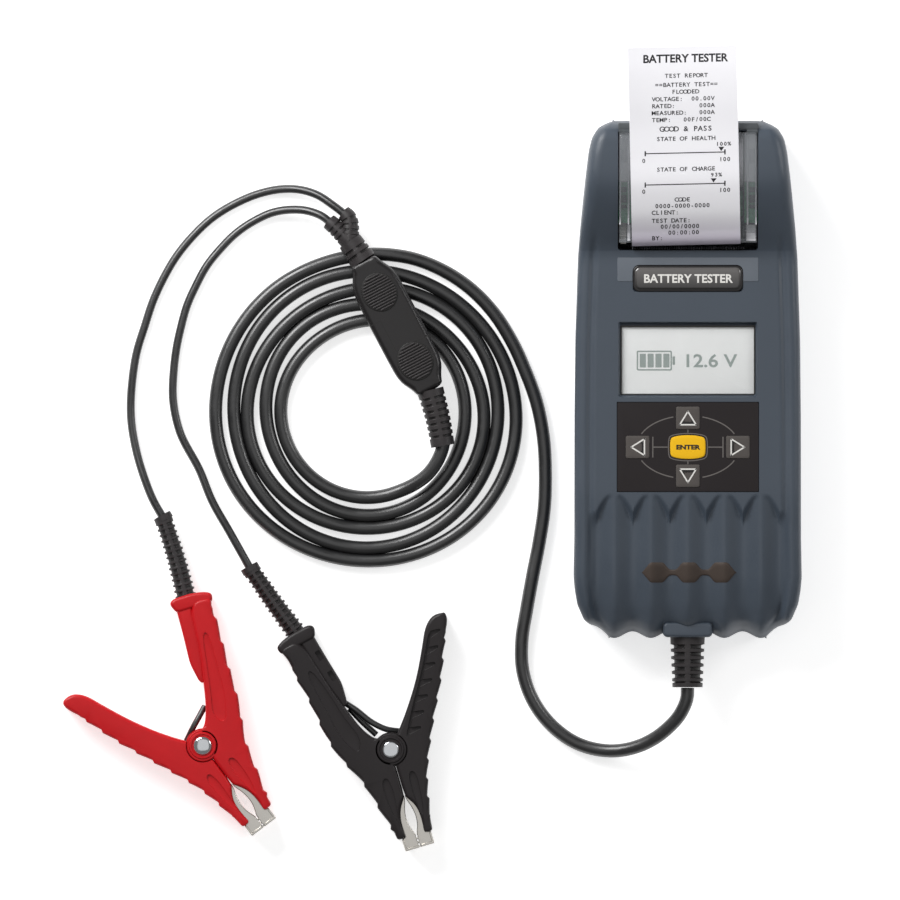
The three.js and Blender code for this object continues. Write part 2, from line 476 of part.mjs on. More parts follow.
const buildCable = () => {
  const relief = join(
    rodY(RELIEF.y0, RELIEF.y1 + 0.2, 0, RELIEF.z, RELIEF.thin, RELIEF.thick, 18),
    rodY(RELIEF.y1, RELIEF.y1 + RELIEF.flangeLong, 0, RELIEF.z, RELIEF.flange, RELIEF.flange, 16),
  );
  put("strain_relief", relief, FINISH.rubber);
  put("main_cable", tube(CABLE_ROUTE, CABLE_RADIUS, 10, 24), FINISH.cable);
  const coil = put("cable_coil", ring(COIL.inner, COIL.outer, 0, COIL.height, 40), FINISH.cable);
  coil.position.set(COIL.x, COIL.y, 0);

  const run = innerRun();
  put("cable_inner_run", tube(run, CABLE_RADIUS, 10, 16), FINISH.cable);

  const z0 = LINK.z - LINK.thick / 2;
  const z1 = LINK.z + LINK.thick / 2;
  const half = LINK.width;
  const cableSide = [
    [LINK_STEP.near + LINK_STEP.gap, -half], [LINK.half - 6, -half], [LINK.half, -8], [LINK.half, 8],
    [LINK.half - 6, half], [LINK_STEP.far + LINK_STEP.gap, half],
    [LINK_STEP.far + LINK_STEP.gap, LINK_STEP.across], [LINK_STEP.near + LINK_STEP.gap, LINK_STEP.across],
  ];
  const clampSide = [
    [LINK_STEP.near, -half], [LINK_STEP.near, LINK_STEP.across + LINK_STEP.gap],
    [LINK_STEP.far, LINK_STEP.across + LINK_STEP.gap], [LINK_STEP.far, half], [6 - LINK.half, half],
    [-LINK.half, 9], [-LINK.half, -9], [6 - LINK.half, -half],
  ];
  const last = run[run.length - 1];
  const before = run[run.length - 2];
  const heading = new THREE.Vector3(...last).sub(new THREE.Vector3(...before)).normalize();
  const bootFoot = new THREE.Vector3(...last).addScaledVector(heading, LINK_BOOT.footGap).toArray();
  const bootRoot = linkPoint(LINK.half - 1, 0);
  const cableBoot = cone(bootFoot, bootRoot, LINK_BOOT.foot, LINK_BOOT.neck);
  put("connector_cable_half", join(linkPlate(cableSide, z0, z1), cableBoot), FINISH.black);

  const forkRoot = linkPoint(-LINK.half - 11, -1.5, 13.8);
  const tip = (route) => {
    const a = new THREE.Vector3(...route[0]);
    const b = new THREE.Vector3(...route[1]);
    return a.clone().addScaledVector(b.sub(a).normalize(), -LINK_BOOT.legGap).toArray();
  };
  const clampHalf = join(
    linkPlate(clampSide, z0, z1),
    cone(linkPoint(1 - LINK.half, 0, LINK.z), forkRoot, LINK_BOOT.root, LINK_BOOT.neck),
    cone(forkRoot, tip(RED_LEAD_ROUTE), LINK_BOOT.leg, LINK_BOOT.legEnd),
    cone(forkRoot, tip(BLACK_LEAD_ROUTE), LINK_BOOT.leg, LINK_BOOT.legEnd),
  );
  put("connector_clamp_half", clampHalf, FINISH.black);
  put("lead_red", tube(RED_LEAD_ROUTE, LEAD_RADIUS, 8, 26), FINISH.cable);
  put("lead_black", tube(BLACK_LEAD_ROUTE, LEAD_RADIUS, 8, 26), FINISH.cable);
};

// ---- clamps -------------------------------------------------------------------------------------
// Outlines in the clamp's own frame: the rivet at the origin, jaws towards -Y, cable handle on +X.
const FIXED_HANDLE = [
  [50.5, 59.5], [46.7, 54.5], [44.5, 47.7], [38.7, 33.5], [34.2, 22.8], [31, 13.8], [26.4, 3.1], [19.7, -8.8],
  [16.2, -19.1], [13.7, -29.9], [11.1, -37.9], [10.2, -45.8], [4, -46], [4.6, -38], [3.4, -30], [0.6, -24.5],
  [0.4, -9], [3, 7], [7.1, 7.6], [13.1, 14.5], [20, 25.7], [28.1, 40.1], [38.7, 64.3],
];
const CABLE_COVER = [[19.4, 26], [27.6, 40.4], [38, 64.6], [32.5, 66.7], [26.6, 52], [20.6, 38.4]];
const MOVING_HANDLE = [
  [-45.1, 62.7], [-45.6, 58.1], [-40.2, 47.5], [-36.4, 35.5], [-32.1, 24.4], [-27.3, 13.7], [-22.6, 3.1],
  [-17.8, -7.6], [-14, -17.6], [-11.2, -29], [-9.3, -39.6], [-7.5, -46.6], [-3.6, -45.8], [-4.4, -38],
  [-3.2, -30], [-0.5, -25.3], [-0.4, -9], [-3, 5], [-4.8, 6], [-13.2, 17.3], [-21.9, 32.3], [-28.8, 47.5],
  [-33.1, 57.9], [-38.5, 62.9],
];
const JAW_FIXED = [
  [0.7, -26.4], [2.8, -29.5], [4.2, -34], [4.1, -39], [2.6, -43], [0.3, -46], [0.3, -53.4], [6.6, -53.4],
  [7, -46.4], [6.6, -39], [6.2, -34], [4.6, -29], [2.4, -25.4],
];
// Handles set closer together or further apart than the drawn outline, turned about the rivet.
const bent = (points, degrees) =>
  points.map(([x, y]) => {
    const share = Math.min(Math.max(y / 30, 0), 1);
    const a = (share * degrees * Math.PI) / 180;
    return [x * Math.cos(a) - y * Math.sin(a), x * Math.sin(a) + y * Math.cos(a)];
  });

const buildClamp = (clamp) => {
  const plastic = clamp.name === "red" ? FINISH.red : FINISH.clampBlack;
  const group = new THREE.Group();
  group.position.set(clamp.x, clamp.y, 0);
  group.rotation.z = (clamp.turn * Math.PI) / 180;
  part.add(group);
  const flip = (points) => points.map(([x, y]) => [x * clamp.side, y]);
  const plate = (points, z0, z1) => prism(flip(points), z0, z1);
  const add = (name, solid, material) => put(`${clamp.name}_${name}`, solid, material, group);

  const top = CLAMP.thick;
  const earTop = top - CLAMP.ear;
  const shaft = rodZ(-1, top + 1, 0, 0, CLAMP.rivet + GAP, 16);
  const pocketStep = 0.4;
  const shifts = [-1, 0, 1].flatMap((x) => [-1, 0, 1].map((y) => [x * pocketStep, y * pocketStep]));
  const jawPocket = (points) =>
    join(...shifts.map(([x, y]) => plate(moved(points, x, y), CLAMP.jaw0 - GAP, CLAMP.jaw1 + GAP)));
  const jawMoving = JAW_FIXED.map(([x, y]) => [-x, y]);

  // The fixed half carries the two outer ears, and is cleared round the moving half's inner ear.
  const fixedBody = cut(
    plate(bent(FIXED_HANDLE, clamp.bendFixed), 0, top),
    rodZ(CLAMP.ear, earTop, 0, 0, CLAMP.hub, 20),
  );
  const outerEar = (z0, z1) => rodZ(z0, z1, 0, 0, CLAMP.boss, 20);
  add(
    "handle_fixed",
    cut(join(fixedBody, outerEar(0, CLAMP.ear), outerEar(earTop, top)), shaft, jawPocket(JAW_FIXED)),
    plastic,
  );
  add("cable_cover", plate(bent(CABLE_COVER, clamp.bendFixed), 2, top - 2), plastic);
  const movingBody = cut(
    plate(bent(MOVING_HANDLE, clamp.bendMoving * -1), 0, top),
    rodZ(-1, CLAMP.ear + GAP, 0, 0, CLAMP.hub, 20),
    rodZ(earTop - GAP, top + 1, 0, 0, CLAMP.hub, 20),
  );
  const springTop = CLAMP.ear + CLAMP.springTall + GAP;
  const innerEar = rodZ(springTop, earTop - GAP, 0, 0, CLAMP.boss, 20);
  const springRoom = rodZ(CLAMP.ear + GAP, springTop, 0, 0, CLAMP.spring + 2 * GAP, 16);
  add("handle_moving", cut(join(movingBody, innerEar), springRoom, shaft, jawPocket(jawMoving)), plastic);
  add("jaw_fixed", plate(JAW_FIXED, CLAMP.jaw0, CLAMP.jaw1), FINISH.nickel);
  add("jaw_moving", plate(jawMoving, CLAMP.jaw0, CLAMP.jaw1), FINISH.nickel);
  const rivet = join(
    rodZ(0.4, top + GAP + 0.2, 0, 0, CLAMP.rivet, 14),
    rodZ(top + GAP, top + CLAMP.headTall, 0, 0, CLAMP.head, 18),
  );
  add("rivet", rivet, FINISH.steel);
  const springFoot = CLAMP.ear + 2 * GAP;
  const spring = ring(CLAMP.rivet + 3 * GAP, CLAMP.spring, springFoot, CLAMP.ear + CLAMP.springTall, 16);
  add("torsion_spring", spring, FINISH.steel);
};
// The ribbed boot between a lead and its clamp's cable handle.
const buildBoot = (clamp, route) => {
  const last = new THREE.Vector3(...route[route.length - 1]);
  const heading = last.clone().sub(new THREE.Vector3(...route[route.length - 2])).normalize();
  const foot = last.clone().addScaledVector(heading, 3 * GAP);
  const [x, y] = bent([[38.6, 64.3]], clamp.bendFixed)[0];
  const a = (clamp.turn * Math.PI) / 180;
  const rootX = clamp.x + clamp.side * x * Math.cos(a) - y * Math.sin(a);
  const rootY = clamp.y + clamp.side * x * Math.sin(a) + y * Math.cos(a);
  const root = new THREE.Vector3(rootX, rootY, CLAMP.thick / 2);
  const reach = root.clone().sub(foot).normalize();
  const end = root.clone().addScaledVector(reach, -BOOT_END.rootGap);
  const boot = cone(foot.toArray(), end.toArray(), BOOT_END.radius, BOOT_END.rootRadius);
  put(`${clamp.name}_boot`, boot, FINISH.rubber);
};

buildCase();
buildFace();
buildCells();
buildPrinter();
buildCable();
for (const [clamp, route] of [[RED_CLAMP, RED_LEAD_ROUTE], [BLACK_CLAMP, BLACK_LEAD_ROUTE]]) {
  buildClamp(clamp);
  buildBoot(clamp, route);
}

export default part;
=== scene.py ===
import math

import bmesh
import bpy
import numpy as np
from bpy.props import FloatProperty, FloatVectorProperty, PointerProperty
from bpy.types import Operator, Panel, PropertyGroup
from mathutils import Matrix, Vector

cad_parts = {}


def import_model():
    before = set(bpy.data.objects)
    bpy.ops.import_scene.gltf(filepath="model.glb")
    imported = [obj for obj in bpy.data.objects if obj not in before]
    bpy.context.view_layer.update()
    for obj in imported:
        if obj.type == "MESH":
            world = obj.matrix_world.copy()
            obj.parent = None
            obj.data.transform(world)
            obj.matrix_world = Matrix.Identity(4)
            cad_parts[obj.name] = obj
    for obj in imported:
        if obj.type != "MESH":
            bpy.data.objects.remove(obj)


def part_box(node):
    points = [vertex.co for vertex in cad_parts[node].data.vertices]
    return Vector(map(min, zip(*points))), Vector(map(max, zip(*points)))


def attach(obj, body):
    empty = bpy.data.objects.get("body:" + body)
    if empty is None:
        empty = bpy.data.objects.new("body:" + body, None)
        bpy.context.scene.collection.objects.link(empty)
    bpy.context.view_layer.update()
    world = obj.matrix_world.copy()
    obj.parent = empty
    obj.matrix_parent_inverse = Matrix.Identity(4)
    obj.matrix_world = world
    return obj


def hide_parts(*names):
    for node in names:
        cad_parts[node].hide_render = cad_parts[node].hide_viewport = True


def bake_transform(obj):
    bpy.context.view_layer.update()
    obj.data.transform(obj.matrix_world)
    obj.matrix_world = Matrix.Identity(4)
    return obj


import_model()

# The looks of a handheld battery tester with a receipt printer, its coiled test cable and two
# spring clamps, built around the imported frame. Shapes are worked out in millimetres, +Z up, with
# the origin in the middle of the tester's flat underside, and are put into meshes in metres.

bl_info = {
    "name": "Battery tester looks",
    "version": (1, 0, 0),
    "blender": (4, 5, 0),
    "location": "3D View > Sidebar > Battery Tester",
    "description": "Builds the visible pieces of a handheld battery tester around its CAD frame",
    "category": "Object",
}

MM = 0.001
UP = np.array([0.0, 0.0, 1.0])
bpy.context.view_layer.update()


def linear(hex_colour):
    """An sRGB hex colour as three linear numbers."""
    channels = [int(hex_colour[i:i + 2], 16) / 255 for i in (1, 3, 5)]
    return tuple(c / 12.92 if c <= 0.04045 else ((c + 0.055) / 1.055) ** 2.4 for c in channels)


def span(node):
    """The lowest and highest corner of a CAD node, in millimetres."""
    low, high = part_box(node)
    return np.array(low) / MM, np.array(high) / MM


def edges_of(node):
    """The edges of a CAD node in X, Y and Z, each low then high, in millimetres."""
    return np.stack(span(node), 1).ravel()


# ---- what a user would change ------------------------------------------------------------------
def colour_property(name, hex_colour, description):
    return FloatVectorProperty(name=name, description=description, subtype="COLOR", size=3,
                               min=0, max=1, default=linear(hex_colour))


def length_property(name, millimetres, description):
    return FloatProperty(name=name, description=description, subtype="DISTANCE", unit="LENGTH",
                         default=millimetres * MM, min=0)


class TesterColours(PropertyGroup):
    case: colour_property("Case", "#454E59", "Slate grey of the moulded case")
    brow: colour_property("Brow panel", "#666D76", "Lighter panel round the badge")
    keypad: colour_property("Keypad film", "#262122", "Printed film of the keypad")
    key: colour_property("Arrow keys", "#57524F", "Warm grey of the arrow keys")
    enter: colour_property("Enter key", "#FFC418", "Amber of the enter key")
    inlay: colour_property("Grip inlay", "#483E38", "Brown of the wave on the grip")
    red_clamp: colour_property("Red clamp", "#CA121A", "Nylon of the positive clamp")
    black_clamp: colour_property("Black clamp", "#262223", "Nylon of the negative clamp")
    screen: colour_property("Screen", "#EFF0EF", "Reflector of the liquid crystal panel")
    digits: colour_property("Screen digits", "#7E8E88", "Dark segments of the liquid crystal")


class TesterSizes(PropertyGroup):
    cable: length_property("Main cable", 7.0, "Diameter of the coiled main cable")
    lead: length_property("Clamp lead", 4.3, "Diameter of each clamp lead")
    rib_depth: length_property("Grip rib depth", 3.4, "Depth of the waves on the grip")
    rib_pitch: length_property("Grip rib pitch", 19.15, "Distance between the crests on the grip")
    groove: length_property("Rail groove depth", 1.1, "Depth of the groove inside each side rail")
    edge: length_property("Case edge", 4.6, "Radius of the long edges of the case")
    saw_depth: length_property("Clamp grip step", 1.1, "Depth of the steps on the clamp handles")


def colours():
    return bpy.context.scene.tester_colours


def millimetres(name):
    return getattr(bpy.context.scene.tester_sizes, name) / MM


# ---- shapes: points in millimetres, and blocks of faces ----------------------------------------
def grid(points, around=False):
    """Quads between neighbouring rows and columns of points, closed along each row if around."""
    rows, columns = points.shape[:2]
    index = np.arange(rows * columns).reshape(rows, columns)
    if around:
        index = np.hstack([index, index[:, :1]])
    quads = np.stack([index[:-1, :-1], index[:-1, 1:], index[1:, 1:], index[1:, :-1]], -1)
    return points.reshape(-1, 3), [quads.reshape(-1, 4)]


def stack(rings):
    """A closed solid through rings of points, with a face over the first and the last ring."""
    points, blocks = grid(rings, around=True)
    count = rings.shape[1]
    last = len(points) - count + np.arange(count)
    return points, blocks + [np.arange(count)[None, ::-1], last[None]]


def joined(*shapes):
    """Several shapes as one."""
    starts = np.cumsum([0] + [len(points) for points, _ in shapes])
    blocks = [block + start for (_, faces), start in zip(shapes, starts) for block in faces]
    return np.vstack([points for points, _ in shapes]), blocks


def turned(shape, degrees=0.0, move=(0.0, 0.0, 0.0), flip=1):
    """A shape mirrored in X if flip is -1, turned about Z and moved."""
    points, blocks = shape
    a = math.radians(degrees)
    x, y = points[:, 0] * flip, points[:, 1]
    out = np.stack([x * math.cos(a) - y * math.sin(a), x * math.sin(a) + y * math.cos(a), points[:, 2]], 1)
    return out + np.array(move), blocks


def lengths_along(path):
    """The length of a path up to each of its points."""
    return np.r_[0, np.cumsum(np.linalg.norm(np.diff(path, axis=0), axis=1))]


def smooth_path(points, spacing=2.0):
    """A cubic Hermite curve through the points over their chord length, at even distances."""
    points = np.array(points, float)
    chord = lengths_along(points)
    slope = np.gradient(points, chord, axis=0)
    fine = np.linspace(0, chord[-1], int(chord[-1] / 0.4) + 8)
    k = np.clip(np.searchsorted(chord, fine, side="right") - 1, 0, len(chord) - 2)
    reach = (chord[k + 1] - chord[k])[:, None]
    t = (fine - chord[k])[:, None] / reach
    line = (2 * t**3 - 3 * t**2 + 1) * points[k] + (t**3 - 2 * t**2 + t) * reach * slope[k]
    line += (3 * t**2 - 2 * t**3) * points[k + 1] + (t**3 - t**2) * reach * slope[k + 1]
    length = lengths_along(line)
    even = np.linspace(0, length[-1], max(int(round(length[-1] / spacing)), 4) + 1)
    return np.stack([np.interp(even, length, line[:, i]) for i in range(line.shape[1])], 1)


def frames(path):
    """The side and lift directions, level with the floor, at each point of a path."""
    tangent = np.gradient(path, axis=0)
    side = np.cross(tangent, UP)
    side /= np.linalg.norm(side, axis=1)[:, None]
    lift = np.cross(side, tangent)
    return side, lift / np.linalg.norm(lift, axis=1)[:, None]


def swept(path, across, lift_by):
    """A closed section carried along a path: offsets across and up, one row for each point."""
    side, lift = frames(path)
    rings = path[:, None] + across[..., None] * side[:, None] + lift_by[..., None] * lift[:, None]
    return stack(rings)


def tube(path, radius, sides=20):
    """A round bar along a path, its radius a number or one for each point or each face."""
    angle = np.linspace(0, 2 * math.pi, sides, endpoint=False)
    radius = np.broadcast_to(np.asarray(radius, float).reshape(-1, 1) if np.ndim(radius) < 2 else radius,
                             (len(path), sides))
    return swept(path, radius * np.cos(angle), radius * np.sin(angle))


def lathe(profile, centre, axis="z", sides=48):
    """A profile of (radius, height) turned about an axis through a centre, closed at its ends."""
    profile = np.array(profile, float)
    angle = np.linspace(0, 2 * math.pi, sides, endpoint=False)
    a = profile[:, :1] * np.cos(angle)
    b = profile[:, :1] * np.sin(angle)
    h = np.broadcast_to(profile[:, 1:], a.shape)
    order = {"z": (a, b, h), "x": (h, a, b), "y": (b, h, a)}[axis]
    return stack(np.stack(order, -1) + np.array(centre, float))


def cylinder(radius, low, high, centre, axis="z", sides=48, core=0.1):
    """A plain cylinder between two heights along an axis, its ends closed to a tiny core."""
    return lathe([(core, low), (radius, low), (radius, high), (core, high)], centre, axis, sides)


def rounded_rectangle(half_x, half_y, radius, steps=6):
    """A rectangle with round corners, as arcs of equal steps, about the origin."""
    angle = np.linspace(0, math.pi / 2, steps + 1)
    corners = []
    for k, (sx, sy) in enumerate([(1, 1), (-1, 1), (-1, -1), (1, -1)]):
        turn = angle + k * math.pi / 2
        corners.append(np.stack([sx * (half_x - radius) + radius * np.cos(turn),
                                 sy * (half_y - radius) + radius * np.sin(turn)], 1))
    return np.vstack(corners)


def normals_of(outline, reach=0):
    """The outward normal at each point of a closed anticlockwise outline, averaged over a reach of
    points to each side, which shortens it where the outline turns sharply."""
    along = np.roll(outline, -1, axis=0) - np.roll(outline, 1, axis=0)
    length = np.linalg.norm(along, axis=1)[:, None]
    normal = np.stack([along[:, 1], -along[:, 0]], 1) / np.maximum(length, 1e-9)
    return sum(np.roll(normal, k, axis=0) for k in range(-reach, reach + 1)) / (2 * reach + 1)


def anticlockwise(outline):
    """An outline, reversed if it runs clockwise."""
    x, y = outline[:, 0], outline[:, 1]
    area = np.sum(x * np.roll(y, -1) - y * np.roll(x, -1))
    return outline if area > 0 else outline[::-1]


def room_inside(outline, normal):
    """The radius of the largest circle that touches an outline from inside at each of its points:
    half the squared distance to another point over that point's depth below the tangent."""
    apart = outline[None] - outline[:, None]
    depth = -np.einsum("ijk,ik->ij", apart, normal)
    squared = (apart**2).sum(2)
    radius = np.where(depth > 1e-3, squared / (2 * np.maximum(depth, 1e-3)), 1e3).min(1)
    near = np.min([np.roll(radius, k) for k in range(-3, 4)], axis=0)
    return np.mean([np.roll(near, k) for k in range(-3, 4)], axis=0)


def plate(outline, z0, z1, edge=0.0, edge_low=None, steps=4, normal=None):
    """An outline carried from z0 to z1, its rims rounded by quarter circles of radius edge, drawn
    in no further than the outline has room for."""
    outline = anticlockwise(np.asarray(outline, float))
    normal = normals_of(outline) if normal is None else normal
    edge_low = edge if edge_low is None else edge_low
    limit = 0.8 * room_inside(outline, normal) if max(edge, edge_low) > 0 else np.full(len(outline), 1.0)
    angle = np.linspace(0, math.pi / 2, steps + 1)
    levels = [(edge_low, 1 - math.sin(a), z0 + edge_low * (1 - math.cos(a))) for a in angle]
    levels += [(edge, 1 - math.cos(a), z1 - edge * (1 - math.sin(a))) for a in angle]
    rings = [np.column_stack([outline - (share * np.minimum(reach, limit))[:, None] * normal,
                              np.full(len(outline), z)]) for reach, share, z in levels]
    return stack(np.array(rings))


def block(x0, x1, y0, y1, z0, z1, edge=0.4, corner=None):
    """A box with rounded rims and corners."""
    corner = max(edge, 0.3) if corner is None else corner
    outline = rounded_rectangle((x1 - x0) / 2, (y1 - y0) / 2, corner, 4)
    return plate(outline + [(x0 + x1) / 2, (y0 + y1) / 2], z0, z1, edge, steps=3)


def softened(x, table, blur):
    """A broken line through (x, value) points, averaged over a bell of that width."""
    table = np.array(table, float)
    offsets = np.linspace(-2, 2, 9)
    weights = np.exp(-offsets ** 2)
    total = sum(w * np.interp(x + o * blur, table[:, 0], table[:, 1]) for w, o in zip(weights, offsets))
    return total / weights.sum()


def smoothstep(x, low, high):
    """0 below low, 1 above high, and a smooth rise between them."""
    t = np.clip((x - low) / (high - low), 0, 1)
    return t * t * (3 - 2 * t)


# ---- meshes -------------------------------------------------------------------------------------
def build(name, shape, material, smooth=35.0, closed=True):
    """A mesh object at the origin with its place in its mesh, faces outward."""
    points, blocks = shape
    mesh = bpy.data.meshes.new(name)
    mesh.from_pydata(points * MM, [], [face for faces in blocks for face in faces.tolist()])
    if closed:
        work = bmesh.new()
        work.from_mesh(mesh)
        bmesh.ops.recalc_face_normals(work, faces=work.faces)
        work.to_mesh(mesh)
        work.free()
    piece = bpy.data.objects.new(name, mesh)
    bpy.context.scene.collection.objects.link(piece)
    dress(piece, material, smooth)
    return piece


def dress(piece, material, smooth=35.0):
    """One material on a piece, its faces smooth up to an angle."""
    mesh = piece.data
    mesh.materials.clear()
    mesh.materials.append(material)
    mesh.polygons.foreach_set("use_smooth", np.ones(len(mesh.polygons), bool))
    mesh.set_sharp_from_angle(angle=math.radians(smooth))


def carve(piece, *shapes, operation="DIFFERENCE", smooth=35.0):
    """Cuts closed shapes out of a piece with the Boolean modifier, one after the other."""
    for shape in shapes:
        cutter = build("cutter", shape, piece.data.materials[0])
        modifier = piece.modifiers.new("cut", "BOOLEAN")
        modifier.object = cutter
        modifier.solver = "EXACT"
        modifier.operation = operation
        settle(piece)
        bpy.data.objects.remove(cutter)
    dress(piece, piece.data.materials[0], smooth)
    return piece


def settle(piece):
    """Applies a piece's modifiers."""
    graph = bpy.context.evaluated_depsgraph_get()
    mesh = bpy.data.meshes.new_from_object(piece.evaluated_get(graph))
    piece.modifiers.clear()
    piece.data = mesh


def place(piece, body, slot, *nodes):
    """Says which body a piece moves with and hides the CAD nodes that it stands for; its slot is not used."""
    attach(piece, body)
    if nodes:
        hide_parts(*nodes)
    return piece


def add(name, shape, finish_name, body, slot, *nodes, smooth=35.0, closed=True):
    """Builds a piece in a finish and places it."""
    return place(build(name, shape, finish(finish_name), smooth, closed), body, slot, *nodes)


def text_shape(words, height, x, y, z, align="LEFT", stretch=1.0, bold=0.0):
    """Flat lettering: capitals of that height, standing at x, y."""
    curve = bpy.data.curves.new("letters", "FONT")
    curve.body = words
    curve.align_x = align
    curve.size = height / 0.7 * MM
    curve.offset = bold * MM
    curve.resolution_u = 3
    letters = bpy.data.objects.new("letters", curve)
    mesh = bpy.data.meshes.new_from_object(letters)
    points = np.empty(len(mesh.vertices) * 3)
    mesh.vertices.foreach_get("co", points)
    points = points.reshape(-1, 3) / MM
    blocks = [np.array([list(p.vertices)]) for p in mesh.polygons]
    bpy.data.objects.remove(letters)
    bpy.data.curves.remove(curve)
    bpy.data.meshes.remove(mesh)
    return points * [stretch, 1, 1] + [x, y, z], blocks


def typed(words, height, x, y, pitch, centred):
    """Lettering on a fixed pitch, as a receipt printer sets it."""
    start = x - (len(words) - 1) * pitch / 2 if centred else x
    return [text_shape(letter, height, start + k * pitch, y - height / 2, 0, "CENTER", 1.05, 0.055)
            for k, letter in enumerate(words) if letter != " "]


# ---- finishes -----------------------------------------------------------------------------------
def add_node(material, kind, settings=(), inputs=()):
    """Adds one node to a material, with its settings, and its inputs set or linked."""
    tree = material.node_tree
    node = tree.nodes.new(kind)
    for name, value in dict(settings).items():
        setattr(node, name, value)
    for name, value in dict(inputs).items():
        if isinstance(value, bpy.types.NodeSocket):
            tree.links.new(value, node.inputs[name])
        else:
            node.inputs[name].default_value = value
    return node


def new_material(name, colour, roughness, metallic=0.0, **shader_values):
    """A material whose Principled shader has these values, and that shader."""
    material = bpy.data.materials.new(name)
    material.use_nodes = True
    shader = material.node_tree.nodes["Principled BSDF"]
    shader.inputs["Base Color"].default_value = (*colour, 1)
    shader.inputs["Roughness"].default_value = roughness
    shader.inputs["Metallic"].default_value = metallic
    for key, value in shader_values.items():
        shader.inputs[key.replace("_", " ")].default_value = value
    return material, shader


def weather(material, shader, colour, shade, patch_mm, grain_mm, depth_mm, rough=None):
    """Mottles a colour over patches, varies its roughness, and raises a fine grain."""
    where = add_node(material, "ShaderNodeTexCoord").outputs["Object"]
    patch = add_node(material, "ShaderNodeTexNoise", {"noise_dimensions": "3D"},
                     {"Vector": where, "Scale": 1 / (patch_mm * MM), "Detail": 4.0, "Roughness": 0.6})
    dark = tuple(c * (1 - shade) for c in colour)
    light = tuple(min(c * (1 + shade), 1) for c in colour)
    tint = add_node(material, "ShaderNodeMix", {"data_type": "RGBA"},
                    {0: patch.outputs["Fac"], 6: (*dark, 1), 7: (*light, 1)})
    material.node_tree.links.new(tint.outputs[2], shader.inputs["Base Color"])
    grain = add_node(material, "ShaderNodeTexNoise", {"noise_dimensions": "3D"},
                     {"Vector": where, "Scale": 1 / (grain_mm * MM), "Detail": 2.0})
    bump = add_node(material, "ShaderNodeBump", {},
                    {"Height": grain.outputs["Fac"], "Distance": depth_mm * MM, "Strength": 1.0})
    material.node_tree.links.new(bump.outputs["Normal"], shader.inputs["Normal"])
    if rough:
        spread = add_node(material, "ShaderNodeMapRange", {},
                          {"Value": patch.outputs["Fac"], "From Min": 0.3, "From Max": 0.7,
                           "To Min": rough[0], "To Max": rough[1]})
        material.node_tree.links.new(spread.outputs["Result"], shader.inputs["Roughness"])


def coated(name, colour, roughness, mottle, rough=None, metallic=0.0, **shader_values):
    """A material in one colour with a mottle: its shade, then its patch, grain and depth in mm."""
    colour = linear(colour) if isinstance(colour, str) else tuple(colour)
    material, shader = new_material(name, colour, roughness, metallic, **shader_values)
    if mottle:
        weather(material, shader, colour, *mottle, rough)
    return material


def printed_film(name, colour, roughness=0.5, grain_mm=0.35):
    # Polyester film printed from behind: even colour, with a velvet texture on its face.
    return coated(name, colour, roughness, (0.06, 14, grain_mm, 0.006), IOR=1.57, Specular_IOR_Level=0.22)


def silicone(name, colour):
    # Silicone rubber keys: matt, with a soft sheen and a fine even grain.
    return coated(name, colour, 0.62, (0.05, 8, 0.3, 0.008), IOR=1.43, Sheen_Weight=0.05,
                  Specular_IOR_Level=0.3)


def moulded_nylon(name, colour):
    # Glass-filled nylon clamp halves: satin, with short flow streaks and a fibrous grain.
    return coated(name, colour, 0.42, (0.09, 9, 0.6, 0.02), (0.34, 0.5), IOR=1.53, Specular_IOR_Level=0.3)


def plain_metal(name, colour, roughness, grain_mm=0.5, depth_mm=0.004):
    # Plated steel: a metal with fine tooling marks, its roughness uneven where it was handled.
    return coated(name, colour, roughness, (0.06, 4, grain_mm, depth_mm),
                  (roughness * 0.8, roughness * 1.3), 1.0)


def flat_ink(name, colour, roughness=0.6):
    # Printed ink: an even colour with a barely uneven edge of gloss.
    return coated(name, colour, roughness, (0.05, 3, 0.3, 0.002), IOR=1.5)


def shaded_along_y(material, shader, low, high, low_hex, high_hex, interpolation="LINEAR"):
    """Paints light and shade along Y: blends the colour from one to the other between two places along Y, in
    metres.
    """
    where = add_node(material, "ShaderNodeTexCoord").outputs["Object"]
    split = add_node(material, "ShaderNodeSeparateXYZ", {}, {"Vector": where})
    share = add_node(material, "ShaderNodeMapRange", {"interpolation_type": interpolation},
                     {"Value": split.outputs["Y"], "From Min": low, "From Max": high})
    tint = add_node(material, "ShaderNodeMix", {"data_type": "RGBA"},
                    {0: share.outputs["Result"], 6: (*linear(low_hex), 1), 7: (*linear(high_hex), 1)})
    material.node_tree.links.new(tint.outputs[2], shader.inputs["Base Color"])
    return where


def solder_mask():
    # Green solder mask over glass epoxy: glossy, its copper tracks showing as paler lines 1 mm apart.
    colour = linear("#3E6B52")
    material, shader = new_material("solder_mask", colour, 0.35, IOR=1.5)
    where = add_node(material, "ShaderNodeTexCoord").outputs["Object"]
    tracks = add_node(material, "ShaderNodeTexVoronoi", {"distance": "MANHATTAN"},
                      {"Vector": where, "Scale": 1 / (2.4 * MM)})
    tint = add_node(material, "ShaderNodeMix", {"data_type": "RGBA"},
                    {0: tracks.outputs["Distance"], 6: (*linear("#1F7A4A"), 1), 7: (*linear("#5FB184"), 1)})
    material.node_tree.links.new(tint.outputs[2], shader.inputs["Base Color"])
    return material


FINISHES = {}


